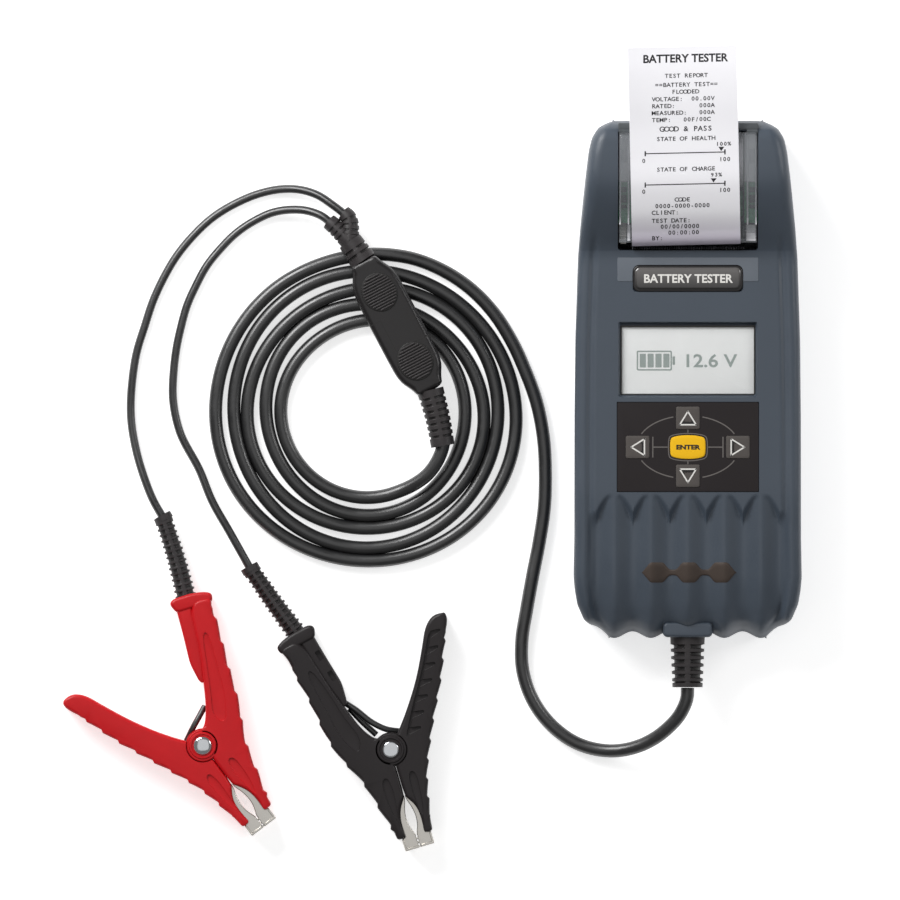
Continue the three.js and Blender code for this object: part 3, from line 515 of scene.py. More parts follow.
def finish(name):
    """The finish of that name, made once."""
    own = colours()
    makers = {
        # ABS moulded in a spark-eroded tool: a satin skin with a fine 0.5 mm grain and slight mottling.
        "case": lambda: coated("moulded_abs", own.case, 0.5, (0.07, 30, 0.5, 0.012), (0.36, 0.48), IOR=1.54),
        # The same ABS polished smoother and lighter, as a plain insert round the badge.
        "brow": lambda: coated("brow_abs", own.brow, 0.45, (0.05, 20, 0.5, 0.008), IOR=1.54),
        # Clear polycarbonate of the printer cover: glossy, nearly colourless, a little grey.
        "clear": lambda: coated("clear_polycarbonate", "#B9BEC3", 0.08, None, IOR=1.58, Alpha=0.2),
        # Acrylic window over the liquid crystal, with an anti-glare skin.
        "glass": lambda: coated("screen_glass", "#EDEFEF", 0.12, None, IOR=1.49, Alpha=0.12),
        # Black styrene of the badge and connector, with a soft gloss.
        "black": lambda: coated("gloss_black", "#161314", 0.34, (0.15, 10, 0.7, 0.004), IOR=1.55),
        # Black plasticised PVC sheath: glossy, with a slow ripple left by the extruder.
        "cable": lambda: coated("cable_pvc", "#161617", 0.36, (0.2, 12, 3.0, 0.03), (0.28, 0.44), IOR=1.53,
                                Specular_IOR_Level=1.0),
        # Moulded thermoplastic rubber: duller than the cable, with a dusty mottling.
        "boot": lambda: coated("boot_rubber", "#2F2B2C", 0.5, (0.2, 6, 0.6, 0.01), (0.42, 0.6), IOR=1.5),
        # Thermal receipt paper: matt, faintly lavender, with a soft fibre grain.
        "paper": lambda: coated("thermal_paper", "#EDEBF1", 0.75, (0.02, 15, 0.4, 0.004), IOR=1.45),
        "film": lambda: printed_film("keypad_film", own.keypad),
        "screen": lambda: printed_film("crystal_reflector", own.screen, 0.35, 0.9),
        "digits": lambda: printed_film("crystal_segments", own.digits, 0.4),
        "inlay": lambda: printed_film("grip_inlay_abs", own.inlay, 0.55, 0.5),
        "gear": lambda: printed_film("acetal_white", "#DAD8D0", 0.45, 0.6),
        "frame": lambda: printed_film("printer_acetal", "#55595C", 0.5, 0.6),
        "pale": lambda: printed_film("frosted_acetal", "#E6E6EA", 0.35, 0.6),
        "rubber": lambda: printed_film("platen_rubber", "#232325", 0.8, 0.5),
        "ceramic": lambda: printed_film("head_ceramic", "#D8D8D2", 0.35, 0.6),
        "cell": lambda: printed_film("cell_wrap", "#8A8D90", 0.3, 2.0),
        "key": lambda: silicone("key_silicone", own.key),
        "enter": lambda: silicone("enter_silicone", own.enter),
        "red": lambda: moulded_nylon("red_nylon", own.red_clamp),
        "dark": lambda: moulded_nylon("black_nylon", own.black_clamp),
        "nickel": lambda: plain_metal("nickel_plate", "#D6D2CB", 0.2),
        "chrome": lambda: plain_metal("polished_rivet", "#DDE0E3", 0.12, 0.8, 0.002),
        "steel": lambda: plain_metal("zinc_plate", "#B9BCC0", 0.32),
        "blade": lambda: plain_metal("blackened_steel", "#2C2C2E", 0.4),
        "board": solder_mask,
        "ink": lambda: flat_ink("thermal_print", "#1E1C22"),
        "white_ink": lambda: flat_ink("white_print", "#EDEBE6", 0.5),
        "grey_ink": lambda: flat_ink("grey_print", "#6A6562"),
        "black_ink": lambda: flat_ink("black_print", "#1A1817", 0.5),
    }
    if name not in FINISHES:
        FINISHES[name] = makers[name]()
    return FINISHES[name]


# ---- stage --------------------------------------------------------------------------------------
VIEW_CENTRE = (-124.1, -37.5)  # middle of the framed layout
VIEW_WIDTH = 471.0
CAMERA_HEIGHT = 15000.0
SENSOR = 36.0
FLOOR_HALF = 3000.0


class TESTER_OT_stage(Operator):
    """Camera, soft lights and the pale floor"""
    bl_idname = "tester.stage"
    bl_label = "Stage"

    def execute(self, context):
        scene = context.scene
        scene.view_settings.view_transform = "Standard"
        camera_data = bpy.data.cameras.new("camera")
        camera_data.sensor_width = SENSOR
        camera_data.lens = SENSOR * CAMERA_HEIGHT / VIEW_WIDTH
        camera_data.clip_end = 40
        camera = bpy.data.objects.new("camera", camera_data)
        camera.location = (VIEW_CENTRE[0] * MM, VIEW_CENTRE[1] * MM, CAMERA_HEIGHT * MM)
        scene.collection.objects.link(camera)
        scene.camera = camera

        world = bpy.data.worlds.new("studio")
        world.use_nodes = True
        world.node_tree.nodes["Background"].inputs["Color"].default_value = (1, 1, 1, 1)
        world.node_tree.nodes["Background"].inputs["Strength"].default_value = 0.2
        scene.world = world
        self.lamp("overhead", (-0.12, -0.03, 1.9), 1.6, 4)
        self.lamp("key", (-1.0, 1.05, 1.05), 0.9, 27)
        self.lamp("fill", (1.1, 0.4, 0.8), 0.5, 4)

        material, shader = new_material("pale_floor", (0.93, 0.93, 0.93), 0.9)
        shader.inputs["Emission Color"].default_value = (1, 1, 1, 1)
        shader.inputs["Emission Strength"].default_value = 0.62
        half = FLOOR_HALF
        corners = np.array([[[x, y, -0.4] for x in (-half, half)] for y in (-half, half)])
        floor = build("floor", grid(corners), material, closed=False)
        return {"FINISHED"}

    def lamp(self, name, position, size, power):
        light = bpy.data.lights.new(name, "AREA")
        light.size = size
        light.energy = power
        lamp = bpy.data.objects.new(name, light)
        lamp.location = position
        aim = np.array([-0.12, -0.03, 0.0]) - np.array(position)
        lamp.rotation_euler = (math.atan2(math.hypot(aim[0], aim[1]), -aim[2]), 0,
                               math.atan2(aim[1], aim[0]) - math.pi / 2)
        bpy.context.scene.collection.objects.link(lamp)


# ---- cable --------------------------------------------------------------------------------------
CABLE_ROUTE = [
    [0, -161.8, 24], [-0.2, -166.6, 23.8], [-3.2, -174.4, 22.4], [-11.4, -183.9, 18.6], [-24.6, -192, 12.6],
    [-39.3, -194.9, 7.4], [-56.9, -191.3, 4.2], [-71.5, -181, 3.6], [-81.8, -166.3, 3.6],
    [-86.2, -151.7, 3.6], [-86.5, -137, 3.6], [-84, -120.9, 3.6], [-81.1, -104.7, 3.6], [-77.4, -85.6, 3.6],
    [-74.8, -68, 3.6], [-74.2, -50.4, 3.6], [-75.2, -31.3, 3.6], [-78.9, -12.2, 3.6], [-84.7, 3.9, 3.6],
    [-91.6, 19, 3.6], [-101.8, 34.9, 3.6], [-115.4, 48.5, 3.6], [-130.1, 57.6, 3.6], [-143.7, 62.7, 3.6],
    [-154.9, 64.6, 3.6],
]
RED_LEAD_ROUTE = [
    [-178.1, 85, 12.4], [-184.8, 90.2, 10.6], [-193.9, 96.1, 7.6], [-202.9, 98.7, 5], [-211.9, 99, 3.2],
    [-222.7, 97, 2.3], [-235.3, 92, 2.2], [-247.9, 84.4, 2.2], [-258.7, 74.4, 2.2], [-267.7, 63.2, 2.2],
    [-274, 52.4, 2.2], [-279.4, 40.7, 2.2], [-283.9, 27.1, 2.2], [-288, 13.7, 2.2], [-290.2, 0.2, 2.2],
    [-290.9, -21.8, 2.6], [-288.3, -37.5, 4.6], [-283.6, -53.2, 7.6], [-279.4, -63.6, 9.4],
    [-273.3, -74.3, 10],
]
BLACK_LEAD_ROUTE = [
    [-185.8, 80.6, 12.4], [-190.3, 84.3, 11.2], [-198.4, 87.5, 8.4], [-207.4, 88.2, 5.8], [-217.3, 86.6, 3.6],
    [-226.3, 82.5, 2.4], [-236.2, 75.8, 2.2], [-244.3, 67.7, 2.2], [-251.5, 58.7, 2.2], [-256.9, 48.8, 2.2],
    [-261.4, 38.9, 2.2], [-265, 26.3, 2.2], [-267.3, 15.4, 2.2], [-268.6, 4.7, 2.2], [-269, -11.3, 2.2],
    [-265.8, -27, 2.6], [-254.9, -48.5, 4.8], [-248.8, -63.6, 7], [-239.2, -80.6, 9.2], [-227.8, -100.9, 10],
]
LINK_APPROACH = [[-142.3, -55.1, 9.3], [-135.6, -50, 11.6], [-130.7, -43.2, 13.4], [-128.1, -36.6, 14.2],
                 [-127.4, -33.4, 14.4]]
COIL = {"first": 82.5, "pitch": 8.5, "turns": 4.56}
COIL_CENTRE = (span("cable_coil")[0] + span("cable_coil")[1])[:2] / 2
LINK = {"x": -151.9, "y": 27.6, "z": 14.4, "dx": 0.461, "dy": -0.888, "half": 39.4}


def coil_route():
    """A flat spiral from its outer turn inwards: the radius falls by one pitch a turn."""
    count = int(COIL["turns"] * 36)
    turn = np.linspace(0, COIL["turns"], count)[1:]
    radius = COIL["first"] - COIL["pitch"] * turn
    angle = math.pi / 2 + 2 * math.pi * turn
    climb = np.clip((turn - 4.4) / 0.16, 0, 1)
    z = 3.6 + 3.2 * climb**2
    free = smoothstep(turn, 0.1, 0.5) * smoothstep(-turn, -4.4, -4.0)
    wander = 0.9 * np.sin(2.3 * angle + 1.1 * turn) * free
    return np.stack([COIL_CENTRE[0] + (radius + wander) * np.cos(angle),
                     COIL_CENTRE[1] + (radius + wander) * np.sin(angle), z], 1)


def make_cord(name, path, diameter, body, nodes):
    """A round cord along a path."""
    piece = build(name, tube(path, diameter / 2, 18), finish("cable"))
    place(piece, body, "cable_pvc", *nodes)
    return piece


def shade_core(path, foot, root, deep):
    """A near-black core seen between the rings of a boot: painted shade that darkens the gaps between the
    rings.
    """
    return tube(path, (np.linspace(foot, root, len(path)) * deep + 0.12)[:, None], 32)


def ribbed(path, foot, root, pitch=3.05, ring=0.42, deep=0.8, spine=0.3):
    """A boot along a path: a core, a ring at each pitch, and two bars above and below that join
    them. The radius is the core's or the outer one, by smooth steps along and around."""
    length = lengths_along(path)
    share = length / length[-1]
    outer = foot + (root - foot) * share
    sides = 44
    angle = np.linspace(0, 2 * math.pi, sides, endpoint=False)
    away = np.abs((length / pitch) % 1 - 0.5)
    disc = smoothstep(away, 0.5 - ring / 2 - 0.05, 0.5 - ring / 2 + 0.05)
    whole = smoothstep(length, length[-1] - 3.4, length[-1] - 3) + smoothstep(-length, -2.6, -2.2)
    disc = np.clip(disc + whole, 0, 1)[:, None]
    bar = smoothstep(np.abs(np.sin(angle)), math.cos(spine), math.cos(spine * 0.75))[None]
    core = outer[:, None] * deep
    radius = core + (outer[:, None] - core) * np.maximum(disc, bar * 0.97)
    return tube(path, radius, sides)


def straight(start, end, spacing=0.35):
    """Points along a straight line."""
    start, end = np.array(start, float), np.array(end, float)
    count = int(np.linalg.norm(end - start) / spacing) + 2
    return start + (end - start) * np.linspace(0, 1, count)[:, None]


class TESTER_OT_cords(Operator):
    """The coiled main cable, the two clamp leads, their boots and the in-line connector"""
    bl_idname = "tester.cords"
    bl_label = "Cable and leads"

    def execute(self, context):
        relief = self.strain_relief()
        cable_half, clamp_half = self.connector()
        boots = {name: self.boot(name, route)
                 for name, route in (("red", RED_LEAD_ROUTE), ("black", BLACK_LEAD_ROUTE))}
        points = np.vstack([CABLE_ROUTE, coil_route()[3:], LINK_APPROACH])
        path = smooth_path(points, 2.0)
        make_cord("cable", path, millimetres("cable"),
                  "tester", ("main_cable", "cable_coil", "cable_inner_run"))
        for name, route in (("red", RED_LEAD_ROUTE), ("black", BLACK_LEAD_ROUTE)):
            path = smooth_path(route, 1.6)
            make_cord(f"{name}_lead", path, millimetres("lead"),
                      "clamp_leads", (f"lead_{name}",))
        return {"FINISHED"}

    def strain_relief(self):
        low, high = span("strain_relief")
        z = (low[2] + high[2]) / 2
        path = straight([0, low[1] - 0.2, z], [0, -134.2, z], 0.3)
        shape = ribbed(path, 7.9, 9.1, 3.85, 0.5, 0.8, 0.22)
        # Painted shade: a near-black core inside the boot darkens the gaps between its rings.
        add("cable_relief_core", shade_core(path, 7.9, 9.1, 0.8), "black_ink", "tester", "boot_rubber", smooth=40)
        collar = plate(rounded_rectangle(12.9, 3.9, 2.4) + [0, -131.4], z - 10.5, z + 11.2, 1.6)
        add("cable_port", collar, "case", "tester", "case_plastic")
        flange = cylinder(11.2, -130.6, -127.4, (0, 0, z), "y")
        return add("cable_relief", joined(shape, flange), "boot", "tester", "boot_rubber", "strain_relief",
                   smooth=40)

    def boot(self, name, route):
        """A ribbed boot from the end of the lead to the clamp's cable handle."""
        last, before = np.array(route[-1]), np.array(route[-2])
        heading = (last - before) / np.linalg.norm(last - before)
        foot = last - heading * 2.0
        root = np.array([*CLAMPS[name].root, 10.0])
        middle = (foot + root) / 2
        path = smooth_path([foot, middle + (last + heading * 20 - middle) * 0.15, root], 0.35)
        shape = ribbed(path, 4.7, 5.6)
        # Painted shade: a near-black core inside the boot darkens the gaps between its rings.
        add(f"{name}_boot_core", shade_core(path, 4.7, 5.6, 0.8), "black_ink", "clamp_leads", "boot_rubber",
            smooth=40)
        collar = tube(straight(foot - heading * 1.0, foot + heading * 2.0), 4.9, 32)
        return add(f"{name}_lead_boot", joined(shape, collar), "boot", "clamp_leads", "boot_rubber",
                   f"{name}_boot", smooth=40)

    def connector(self):
        """Two moulded halves, each a rounded body with an oval ridged grip, and their boots."""
        axis = np.array([LINK["dx"], LINK["dy"]])
        across = np.array([-LINK["dy"], LINK["dx"]])
        centre = np.array([LINK["x"], LINK["y"]])

        def world(points):
            points = np.asarray(points, float)
            return centre + points[:, :1] * axis + points[:, 1:2] * across

        def to_world(shape):
            points, blocks = shape
            flat = world(points[:, :2])
            return np.column_stack([flat, points[:, 2]]), blocks

        z0, z1 = LINK["z"] - 6.8, LINK["z"] + 6.8
        near, far, split = -6.0, 12.0, -6.5
        body = [[-38.8, -6.6], [-34, -8.2], [-27, -12.3], [-16, -12.9], [16, -12.9], [27, -12.3], [34, -8.2],
                [38.6, -7.0], [38.6, 7.0], [34, 8.4], [27, 12.5], [16, 12.9], [-16, 12.9], [-27, 12.3],
                [-34, 8.2], [-38.8, 6.6]]
        whole = softened_outline(body, 0.6)
        gap, past = 0.03, 60
        cable_part = [[near + gap, -past], [past, -past], [past, past], [far + gap, past],
                      [far + gap, split - gap], [near + gap, split - gap]]
        clamp_part = [[near - gap, -past], [near - gap, split + gap], [far - gap, split + gap],
                      [far - gap, past], [-past, past], [-past, -past]]
        pieces = []
        for name, part, along, body, node in (
                ("cable", cable_part, 21.0, "tester", "connector_cable_half"),
                ("clamp", clamp_part, -19.6, "clamp_leads", "connector_clamp_half")):
            if name == "cable":
                foot = np.array(LINK_APPROACH[-1])
                back = foot - np.array(LINK_APPROACH[-2])
                foot = foot - back / np.linalg.norm(back) * 2
                root = np.array([*world([[LINK["half"] - 1.5, 0]])[0], LINK["z"]])
                sleeves = [(smooth_path([foot, (foot + root) / 2 + [0.6, 0, 0], root], 0.2), 6.2, 7.0, 3.4)]
            else:
                fork = np.array([*world([[-LINK["half"] - 11, -1.5]])[0], 13.8])
                root = np.array([*world([[1.5 - LINK["half"], 0]])[0], LINK["z"]])
                sleeves = [(straight(fork, root, 0.2), 6.4, 7.2, 3.4)]
                for route in (RED_LEAD_ROUTE, BLACK_LEAD_ROUTE):
                    first, second = np.array(route[0]), np.array(route[1])
                    tip = first + (second - first) / np.linalg.norm(second - first) * 2.0
                    sleeves.append((smooth_path([tip, first, fork], 0.2), 4.2, 5.2, 2.9))
            shell = to_world(plate(whole, z0, z1, 3.0, steps=6))
            piece = build(f"connector_{name}_side", shell, finish("black"), 40)
            carve(piece, to_world(plate(part, z0 - 1, z1 + 2)), operation="INTERSECT", smooth=40)
            pad, bars = self.grip(along, z1)
            rings = [ribbed(route, low, high, pitch, 0.66, 0.86, 0.2) for route, low, high, pitch in sleeves]
            # Painted shade: near-black cores darken the gaps between the boot rings.
            cores = [shade_core(route, low, high, 0.86) for route, low, high, _ in sleeves]
            if name == "clamp":
                # Painted shade: a near-black line along the split between the two halves stands in for the
                # shadow in the seam.
                seam_shade_line = [[near, -12.6], [near, split], [far, split], [far, 12.6]]
                cores.append(to_world(stroke(seam_shade_line, 0.55, z1 - 0.4, z1 + 0.04)))
            for detail, shape, finish_name, slot in (
                    ("boots", joined(*rings), "boot", "boot_rubber"),
                    ("cores", joined(*cores), "black_ink", "boot_rubber"),
                    ("grip_pad", to_world(pad), "black_ink", "gloss_black"),
                    ("grip_bars", to_world(bars), "boot", "gloss_black"),
            ):
                place(build(f"connector_{name}_{detail}", shape, finish(finish_name), 40), body, slot)
            pieces.append(place(piece, body, "gloss_black", node))
        return pieces

    def grip(self, along, top):
        """An oval pad standing proud, crossed by thirteen bars that its rim cuts off."""
        angle = np.linspace(0, 2 * math.pi, 72, endpoint=False)
        oval = np.column_stack([along + 10.4 * np.cos(angle), 9.4 * np.sin(angle)])
        bars = []
        for x in np.linspace(-8.7, 8.7, 13):
            half = 8.6 * math.sqrt(1 - (x / 9.8) ** 2)
            bars.append(block(along + x - 0.44, along + x + 0.44, -half, half, top, top + 1.2, 0.3))
        return plate(oval, top - 2, top + 0.45, 0.4), joined(*bars)


def softened_outline(points, spacing=0.8, radius=99.0, corners=()):
    """A closed outline whose corners are parabolas of up to that reach, at even distances. The
    corners with a reach of their own are (index, reach) pairs."""
    line = np.array(points, float)
    reach = np.full((len(line), 1), float(radius))
    for index, own in corners:
        reach[index] = own
    before, after = np.roll(line, 1, axis=0) - line, np.roll(line, -1, axis=0) - line
    ends = []
    for edge in (before, after):
        length = np.linalg.norm(edge, axis=1)[:, None]
        ends.append(line + edge / length * np.minimum(reach, length * 0.48))
    t = np.linspace(0, 1, 9)[None, :, None]
    curve = (1 - t) ** 2 * ends[0][:, None] + 2 * t * (1 - t) * line[:, None] + t**2 * ends[1][:, None]
    line = anticlockwise(curve.reshape(-1, 2))
    closed = np.vstack([line, line[:1]])
    length = lengths_along(closed)
    even = np.linspace(0, length[-1], int(length[-1] / spacing))[:-1]
    return np.stack([np.interp(even, length, closed[:, i]) for i in range(2)], 1)


# ---- case ---------------------------------------------------------------------------------------
SPLIT_Z = span("front_shell")[0][2]
FACE_Z = 48.0
SHELL_WALL = 1.1
GRIP_TOP_Y, ARCH_Y = -60.0, -80.5
HALF_WIDTH = [(-134, 40.4), (-132.2, 45.3), (-130.6, 49.5), (-125.8, 54.3), (-118.3, 57.6), (-110.8, 58.9),
              (-104, 59.5), (-84, 59.1), (-20, 59), (20, 58.6), (63, 57.2), (78, 56), (94, 54.4), (106, 53.1),
              (118, 51.6), (125, 50), (130.6, 46.6), (133.2, 41.5), (134, 38)]
TOP_PROFILE = [(-133.9, 27), (-131.5, 33), (-127, 38), (-119, 42), (-107, 44.8), (-95, 46), (-60, 48),
               (66.4, 48), (71, 51.2), (77, 55), (86, 60.4), (93, 64.2), (99, 66.9), (105, 68.4), (117, 68.4),
               (126, 67.2), (130.5, 64.6), (133, 60.5), (134, 55)]


def half_width(y):
    """Half the case's width at each place along it."""
    return softened(y, HALF_WIDTH, 1.2)


def top_height(y):
    """Height of the case's top at each place along it, with softer bends between its ends."""
    return softened(y, TOP_PROFILE, 1.4 + 3.8 * smoothstep(y, -130, -112) * smoothstep(-y, -126, -108))


def recess(x, y, area, corner, band):
    """How far inside a rounded rectangle a point is: 0 outside, 1 inside, a ramp over the band."""
    x0, x1, y0, y1 = area
    dx = np.abs(x - (x0 + x1) / 2) - (x1 - x0) / 2 + corner
    dy = np.abs(y - (y0 + y1) / 2) - (y1 - y0) / 2 + corner
    outside = np.hypot(np.maximum(dx, 0), np.maximum(dy, 0))
    distance = outside + np.minimum(np.maximum(dx, dy), 0) - corner
    return np.clip(-distance / band, 0, 1)


def lines_with_edges(low, high, pitch, edges, band):
    """Even grid lines with extra ones bunched inside each recess edge."""
    count = int(round((high - low) / pitch))
    lines = [np.linspace(low, high, count + 1)]
    for edge, inward in edges:
        lines.append(edge + inward * np.array([-0.25, 0.0, 0.3, 0.7, 1.0, 1.25]) * band)
    lines = np.sort(np.concatenate(lines))
    return lines[np.r_[True, np.diff(lines) > 0.06]]


class TESTER_OT_case(Operator):
    """The front and rear shells, the battery door and the case screws"""
    bl_idname = "tester.case"
    bl_label = "Case"

    def execute(self, context):
        self.front_shell()
        self.rear_shell()
        self.battery_door()
        return {"FINISHED"}

    def front_shell(self):
        """Each row is a section of the case: level to the groove inside the rail, round the long
        edge by a quarter circle, and down the wall. Ribs are one minus a cosine of the distance
        from the crest, inside a pointed arch; recesses lower the face inside rounded rectangles."""
        areas = {
            "screen": (self.area_of("lcd_window", 0.6, 0.4), 1.0, 1.5, 3.4),
            "pad": (self.area_of("keypad_overlay", 0.3, 0.3), 0.6, 0.25, 1.2),
            "badge": (self.area_of("badge_plate", 0.3, 0.3), 2.4, 0.3, 1.4),
            "window": ((-36.6, 36.6, 66.6, 129.2), 2.0, 0.5, 9.0),
        }
        x_edges, y_edges = [], []
        for (x0, x1, y0, y1), _, band, _ in areas.values():
            x_edges += [(x0, 1), (x1, -1)]
            y_edges += [(y0, 1), (y1, -1)]
        level = lines_with_edges(-48, 48, 0.8, x_edges, 0.5)
        fine = lines_with_edges(-134, GRIP_TOP_Y + 1, 0.9, [], 0.5)
        coarse = lines_with_edges(GRIP_TOP_Y + 2, 134, 2.0, y_edges, 0.5)
        rows = np.sort(np.concatenate([fine, coarse]))
        rows = rows[np.r_[True, np.diff(rows) > 0.06]]
        width = half_width(rows)[:, None]
        band_scale = np.clip((width - 38.3) / 11.7, 0.05, 1)
        margin = 11.2 * band_scale
        limit = width - margin
        x = np.where(np.abs(level) <= 37.2, level, np.sign(level) * (
            37.2 + (np.abs(level) - 37.2) / (48 - 37.2) * (limit - 37.2)))
        edge = millimetres("edge") + 2.2 * smoothstep(rows, 70, 95)[:, None]
        groove_reach = smoothstep(-rows, -78, -66) * smoothstep(rows, -134, -118)
        groove = (millimetres("groove") * groove_reach)[:, None]
        distances = edge + 0.4 + (10.0 - edge) * np.linspace(1, 0, 8)
        depths = np.array([0.04, 0.3, 0.75, 1.0, 0.85, 0.45, 0.1, -0.04])
        arc = np.linspace(0, math.pi / 2, 9)
        out_d = np.hstack([distances * band_scale, (edge * (1 - np.sin(arc))) * band_scale])
        out_drop = np.hstack([depths * groove, edge * (1 - np.cos(arc))])
        x_side = width - out_d
        top = top_height(rows)[:, None]
        y = np.broadcast_to(rows[:, None], x.shape)
        z = top - self.ribs(x, y)
        depth = np.zeros_like(x)
        for area, corner, band, deep in areas.values():
            depth = np.maximum(depth, deep * recess(x, y, area, corner, band))
        z = z - depth
        z_side = top - out_drop - self.ribs(x_side, np.broadcast_to(rows[:, None], x_side.shape))
        wall_top = z_side[:, -1:]
        wall_share = np.linspace(0, 1, 8)[1:]
        z_wall = wall_top + (SPLIT_Z - wall_top) * wall_share
        x_wall = np.broadcast_to(width, z_wall.shape)
        right_x = np.hstack([x_side, x_wall])
        right_z = np.hstack([z_side, z_wall])
        all_x = np.hstack([-right_x[:, ::-1], x, right_x])
        all_z = np.hstack([right_z[:, ::-1], z, right_z])
        all_y = np.broadcast_to(rows[:, None], all_x.shape).copy()
        all_y = all_y - self.scallop(all_x, all_y, 1.7)
        points = np.stack([all_x, all_y, all_z], -1)
        foot = [self.lowered(points[0], share) for share in (0.0, 0.35, 0.7)]
        head = [self.lowered(points[-1], share) for share in (0.7, 0.35, 0.0)]
        points = np.concatenate([np.array(foot), points, np.array(head)])
        flat, blocks = grid(points)
        (x0, x1, y0, y1), corner, band, _ = areas["window"]
        hole = recess(flat[:, 0], flat[:, 1], (x0, x1, y0, y1), corner, band) >= 0.999
        quads = blocks[0][~hole[blocks[0]].all(1)]
        used = np.unique(quads)
        renumber = np.zeros(len(flat), int)
        renumber[used] = np.arange(len(used))
        piece = build("front_case", (flat[used], [renumber[quads]]), finish("case"), 32, closed=False)
        self.thicken(piece, SHELL_WALL)
        place(piece, "tester", "case_plastic", "front_shell")
        self.brow_panel()
        self.inlay()

    def scallop(self, x, y, depth):
        """How far the cable end of the case waves in and out with the ribs, beside the outlet."""
        wave = depth * np.cos(2 * math.pi * x / millimetres("rib_pitch")) * smoothstep(-y, 122, 133.5)
        return wave * (np.abs(x) > 12)

    def area_of(self, node, room, room_behind):
        """The plan of a CAD node, with room round it, as its edges in X and then in Y."""
        low, high = span(node)
        return low[0] - room, high[0] + room, low[1] - room, high[1] + room_behind

    def lowered(self, section, share):
        """A copy of an end section drawn down towards the split line."""
        out = section.copy()
        out[:, 2] = SPLIT_Z + (section[:, 2] - SPLIT_Z) * share
        return out

    def thicken(self, piece, wall):
        """Gives an open skin, its faces turned up first, a wall on its inner side."""
        work = bmesh.new()
        work.from_mesh(piece.data)
        bmesh.ops.recalc_face_normals(work, faces=work.faces)
        up = sum(f.normal.z * f.calc_area() for f in work.faces)
        if up < 0:
            bmesh.ops.reverse_faces(work, faces=work.faces)
        work.to_mesh(piece.data)
        work.free()
        modifier = piece.modifiers.new("wall", "SOLIDIFY")
        modifier.thickness = wall * MM
        modifier.offset = -1

    def ribs(self, x, y):
        """Depth of the grip waves below the face."""
        pitch = millimetres("rib_pitch")
        crest = np.clip(np.round(x / pitch), -2, 2) * pitch
        away = np.minimum(np.abs(x - crest) / (pitch / 2), 1)
        wave = millimetres("rib_depth") * ((1 - np.cos(math.pi * away)) / 2) ** 0.85
        share = np.clip((GRIP_TOP_Y - y) / (GRIP_TOP_Y - ARCH_Y), 0, 1)
        half_arch = 0.3 + 0.95 * np.sin(share * math.pi / 2) ** 0.9
        inside = smoothstep(half_arch - away, -0.06, 0.26)
        fade = smoothstep(-np.abs(x), -52.5, -48) * smoothstep(GRIP_TOP_Y - y, 0, 3)
        return wave * inside * fade

    def brow_panel(self):
        """A flat insert round the badge, cut away under it."""
        low, high = span("badge_plate")
        z = FACE_Z
        outline = rounded_rectangle(36.8, 7.6, 0.8) + [0, 58.0]
        panel = build("brow_panel", plate(outline, z - 1.2, z + 0.25, 0.3, 0.05), finish("brow"))
        middle = (low[1] + high[1]) / 2
        gap = rounded_rectangle((high[0] - low[0]) / 2 + 0.4, (high[1] - low[1]) / 2 + 0.4, 3.6) + [0, middle]
        carve(panel, plate(gap, z - 3, z + 3))
        place(panel, "tester", "case_plastic")

    def inlay(self):
        """The wave on the grip: three lobes with narrow necks, pointed at both ends, laid over the ribs."""
        low, high = span("grip_inlay")
        y = (low[1] + high[1]) / 2
        centre, spread = 0.6, 16.8
        x = np.linspace(centre - 24.6, centre + 24.8, 160)
        away = np.abs(x - centre - spread * np.clip(np.round((x - centre) / spread), -1, 1))
        lobe = np.minimum(5.3, np.maximum(9.6 - 1.25 * away, 0))
        neck = 1.5 * (np.abs(x - centre) < spread)
        half = np.maximum(lobe, neck)
        half = np.convolve(np.pad(half, 3, "edge"), np.ones(7) / 7, "valid")
        half[[0, -1]] = 0.03
        across = np.linspace(-1, 1, 19)
        px = np.broadcast_to(x[:, None], (len(x), len(across)))
        py = y + half[:, None] * across
        pz = top_height(py) - self.ribs(px, py)
        bulge = 0.55 * (1 - np.abs(across) ** 6)[None] * np.minimum(1, half[:, None])
        top = np.stack([px, py, pz + bulge + 0.05], -1)
        bottom = np.stack([px, py, pz - 0.9], -1)[:, ::-1]
        add("grip_wave", stack(np.concatenate([top, bottom], axis=1)), "inlay", "tester", "brown_plastic",
            "grip_inlay", smooth=50)

    def outline(self, inset=0.0, spacing=2.0):
        """The plan of the case drawn in by an inset, anticlockwise."""
        y = np.concatenate([np.linspace(-134, -100, 40), np.linspace(-98, 100, 60),
                            np.linspace(101, 134, 40)])
        right = np.column_stack([half_width(y), y])
        corner = np.vstack([[[-20, -134], [20, -134]], right, [[20, 134], [-20, 134]], right[::-1] * [-1, 1]])
        even = softened_outline(corner, spacing, 6)
        even[:, 1] += 0.5 - self.scallop(even[:, 0], even[:, 1], 1.5)
        return even - inset * normals_of(even, 1)

